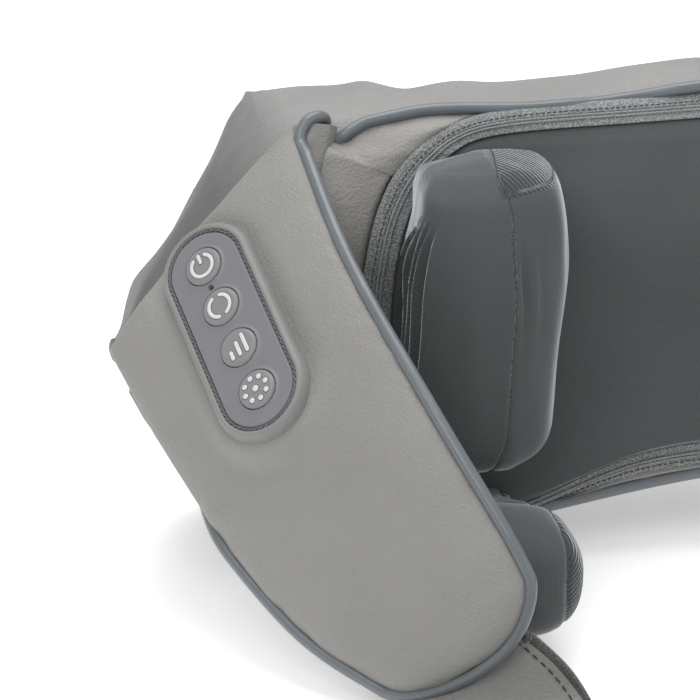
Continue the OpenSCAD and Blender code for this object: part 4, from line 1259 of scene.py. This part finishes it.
def strap(s):
    side, m = SIDES[s]
    line, across = strap_line()
    t = unit(np.gradient(line, axis=0))
    across = unit(across - (across * t).sum(-1, keepdims=True) * t)
    up = np.cross(across, t)
    up = up * np.sign(up[200, 2])
    profile = curve([(0, 1.35), (-24, 1.42), (-27.4, 1.2), (-28.4, 0), (-27.4, -1.2), (-24, -1.35),
                     (0, -1.4), (24, -1.35), (27.4, -1.2), (28.4, 0), (27.4, 1.2), (24, 1.42),
                     (0, 1.35)], 81)[:-1]
    u = np.linspace(0, 1, len(line))[:, None]
    wide = 0.7 + 0.3 * smoothstep(0.0, 0.13, u)
    line = line - across * 5 * (1 - smoothstep(0.0, 0.13, u))
    g = (line[:, None] + across[:, None] * wide[:, None] * profile[None, :, :1]
         + up[:, None] * profile[None, :, 1:])
    channel = hump(np.abs(profile[:, 0]), 23.6, 0.8) * 0.4 * np.sign(profile[:, 1])
    g = g - up[:, None] * channel[None, :, None]
    past_root = smoothstep(0, 40, np.arange(520))[:, None, None]
    g = g + up[:, None] * (0.22 * ripple(g, 17, 71))[..., None] * past_root
    g[..., 2] = np.maximum(g[..., 2], 0.05)
    made = grid(f"strap_leather_{s}", mirrored(g, m), LEATHER_STRAP, None, wrap=True, caps=True,
                flip=m < 0)
    pieces = []
    for k, x in enumerate((-28.2, 28.2)):
        path = line + across * x * wide
        path[:, 2] = np.maximum(path[:, 2], 1.85)
        pieces.append(tube(f"strap_binding_{s}{k}", mirrored(path, m), 1.75, BINDING, None,
                           sides=10))
        for j, w in enumerate((1, -1)):
            path = line + across * wide * x * 23.6 / 28.2 + up * w * 1.1
            path[:, 2] = np.maximum(path[:, 2], 0.7)
            nrm = up * w
            pieces.append(stitches(f"strap_stitches_{s}{k}{j}", mirrored(path, m), mirrored(nrm, m), 3.3,
                                   (2.4, 0.65, 0.6), THREAD, None))
    for piece in pieces:
        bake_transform(piece)
    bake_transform(made)
    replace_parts(made, f"strap_anchor_{s}", f"strap_{s}")
    box_path = arr([(-22, 4), (22, 4), (22, 20), (-22, 20)])
    cross = even(np.vstack([box_path, box_path[:1]]), 200)
    y = LOOP_FROM + cross[:, 1]
    path = (arr([STRAP_X, STRAP_Y, 0]) + STRAP_RUN * (STRAP_Y - y)[:, None] + STRAP_ACROSS * cross[:, :1]
            + arr([0, 0, 6.25]))
    stitches(f"strap_box_stitches_{s}", mirrored(path, m), np.repeat(arr([[0, 0, 1]]), 200, 0), 3.3,
             (2.4, 0.65, 0.6), THREAD, f"strap_{side}_body")
    return made


def oval(x, y, wide, deep, z, n, square_x, square_y):
    """A squared-off oval at height z: half of it is wide along X and deep along Y."""
    a = np.linspace(0, 2 * math.pi, n, endpoint=False)
    return np.column_stack([x + wide * signed_power(np.cos(a), square_x),
                            y + deep * signed_power(np.sin(a), square_y), np.full(n, z)])


def zip_slider():
    """A tapered slider body with a bridge, in place of the CAD slider."""
    low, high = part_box("zipper_slider")
    x, z = (low.x + high.x) / 2 / MM, (low.z + high.z) / 2 / MM
    stations = ((-6, 2.6, 3.4), (-5.6, 3.2, 4.2), (-3, 3.9, 4.7), (1, 4.6, 4.8), (4.4, 4.9, 4.7),
                (5.6, 4.4, 4.2), (6, 3.6, 3.4))
    rows = [oval(x, -5.4, wide, -thick / 2, z - 1 + t, 36, 0.5, 0.6) for t, wide, thick in stations]
    made = grid("zip_slider_body", arr(rows), SLIDER, "slider", wrap=True, caps=True)
    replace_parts(made, "zipper_slider")
    arch = arr([(x, -7, z - 4.2), (x, -9.2, z - 3), (x, -10.6, z), (x, -9.2, z + 3.2), (x, -7, z + 4.2)])
    tube("zip_slider_bridge", curve(arch, 30), 0.85, SLIDER, "slider", sides=12)


def zip_pull():
    low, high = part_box("zipper_pull")
    x, y, top, bottom = (low.x + high.x) / 2 / MM, (low.y + high.y) / 2 / MM, high.z / MM, low.z / MM
    y -= front_y / MM
    loop = arr([(x - 1.6, y, top - 0.6), (x, y, top), (x + 1.6, y, top - 0.6), (x + 1.7, y, top - 6),
                (x, y, top - 8), (x - 1.7, y, top - 6)])
    ring = even(spline(np.vstack([loop, loop[:1]]), np.linspace(0, 1, 200)), 60)
    made = tube("zip_pull_ring", ring, 0.6, SLIDER, "pull", sides=10)
    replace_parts(made, "zipper_pull")
    stations = ((top - 6.6, 0.8, 0.5), (top - 7.2, 1.6, 0.8), (top - 10, 1.9, 0.9),
                (bottom + 3, 2.3, 0.9), (bottom + 0.8, 2.0, 0.8), (bottom + 0.2, 1.2, 0.5))
    rows = [oval(x, y, wide, thick, z, 32, 0.6, 0.7) for z, wide, thick in stations]
    grid("zip_pull_tab", arr(rows), SLIDER, "pull", wrap=True, caps=True)


def frame_finishes():
    """Materials for the CAD pieces that stay, by the record's slot."""
    finish = {
        "housing": moulded("housing_abs", (42, 43, 46)),
        "claw_core": moulded("core_nylon", (205, 204, 198), 0.45),
        "steel": metal("drawn_steel", (196, 198, 202)),
        "bronze": metal("bush_bronze", (186, 146, 98), 0.42),
        "acetal": moulded("wheel_acetal", (232, 228, 214), 0.35),
        "cell": moulded("cell_sleeve", (52, 96, 148), 0.3),
        "board": board(),
        "chips": moulded("chip_epoxy", (34, 34, 37), 0.4)}
    for part in frame["record"]["subparts"]:
        node = frame["nodes"][part["node"]]
        if part["material_slot"] in finish and not node.hide_render:
            node.data.materials.clear()
            node.data.materials.append(finish[part["material_slot"]])


# ---------------------------------------------------------------- stage, light and camera


def light(name, place, aim, size, power):
    data = bpy.data.lights.new(name, "AREA")
    data.shape, data.size, data.energy = "DISK", size, power
    made = bpy.data.objects.new(name, data)
    made.location = place
    made.rotation_euler = (Vector(place) - Vector(aim)).to_track_quat("Z", "Y").to_euler()
    bpy.context.scene.collection.objects.link(made)


def stage():
    s = Shader("floor_white", 0.9)
    s.bsdf.inputs["Base Color"].default_value = (0.93, 0.93, 0.93, 1)
    s.bsdf.inputs["Emission Color"].default_value = (1, 1, 1, 1)
    s.bsdf.inputs["Emission Strength"].default_value = 0.3
    floor_radius = 6000
    r = np.linspace(0, floor_radius, 30)
    a = np.linspace(0, 2 * math.pi, 64, endpoint=False)
    g = np.stack([np.outer(r + 1, np.cos(a)), np.outer(r + 1, np.sin(a)), np.full((30, 64), -0.3)], -1)
    floor = grid("floor", g, s.mat, wrap=True, flip=True)
    world = bpy.data.worlds.new("studio")
    bpy.context.scene.world = world
    world.use_nodes = True
    sky = world.node_tree.nodes["Background"]
    sky.inputs[0].default_value, sky.inputs[1].default_value = (1, 1, 1, 1), 0.62
    middle = Vector((-0.1, 0.08, 0.08))
    light("key", (-0.9, -1.1, 1.5), middle, 1.3, 13)
    light("fill", (1.2, -1.0, 0.7), middle, 1.4, 3)
    light("top", (0.0, 0.45, 1.7), middle, 1.5, 22)


def camera():
    data = bpy.data.cameras.new("camera")
    made = bpy.data.objects.new("camera", data)
    bpy.context.scene.collection.objects.link(made)
    bpy.context.scene.camera = made
    low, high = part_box("back_cover")
    target = Vector((-0.131, front_y, (low.z + high.z) / 2 - 0.0015))
    azimuth, elevation = math.radians(-10), math.radians(20)
    back = Vector((math.sin(azimuth) * math.cos(elevation), -math.cos(azimuth) * math.cos(elevation),
                   math.sin(elevation)))
    made.location = target + back
    made.rotation_euler = back.to_track_quat("Z", "Y").to_euler()
    data.sensor_width, data.lens, data.clip_end = 36, 154.3, 30


def build():
    back_cover()
    leather_gusset()
    fabric_panel()
    zipper()
    body_piping()
    for s in SIDES:
        wing(s)
        piping_wing(s)
        crease_fold(s)
        upper_claw(s)
        lower_claw(s)
        strap(s)
    control_pad()
    zip_slider()
    zip_pull()
    frame_finishes()
    camera()
    stage()
    bpy.context.scene.view_settings.view_transform = "Standard"


build()
bpy.context.view_layer.update()
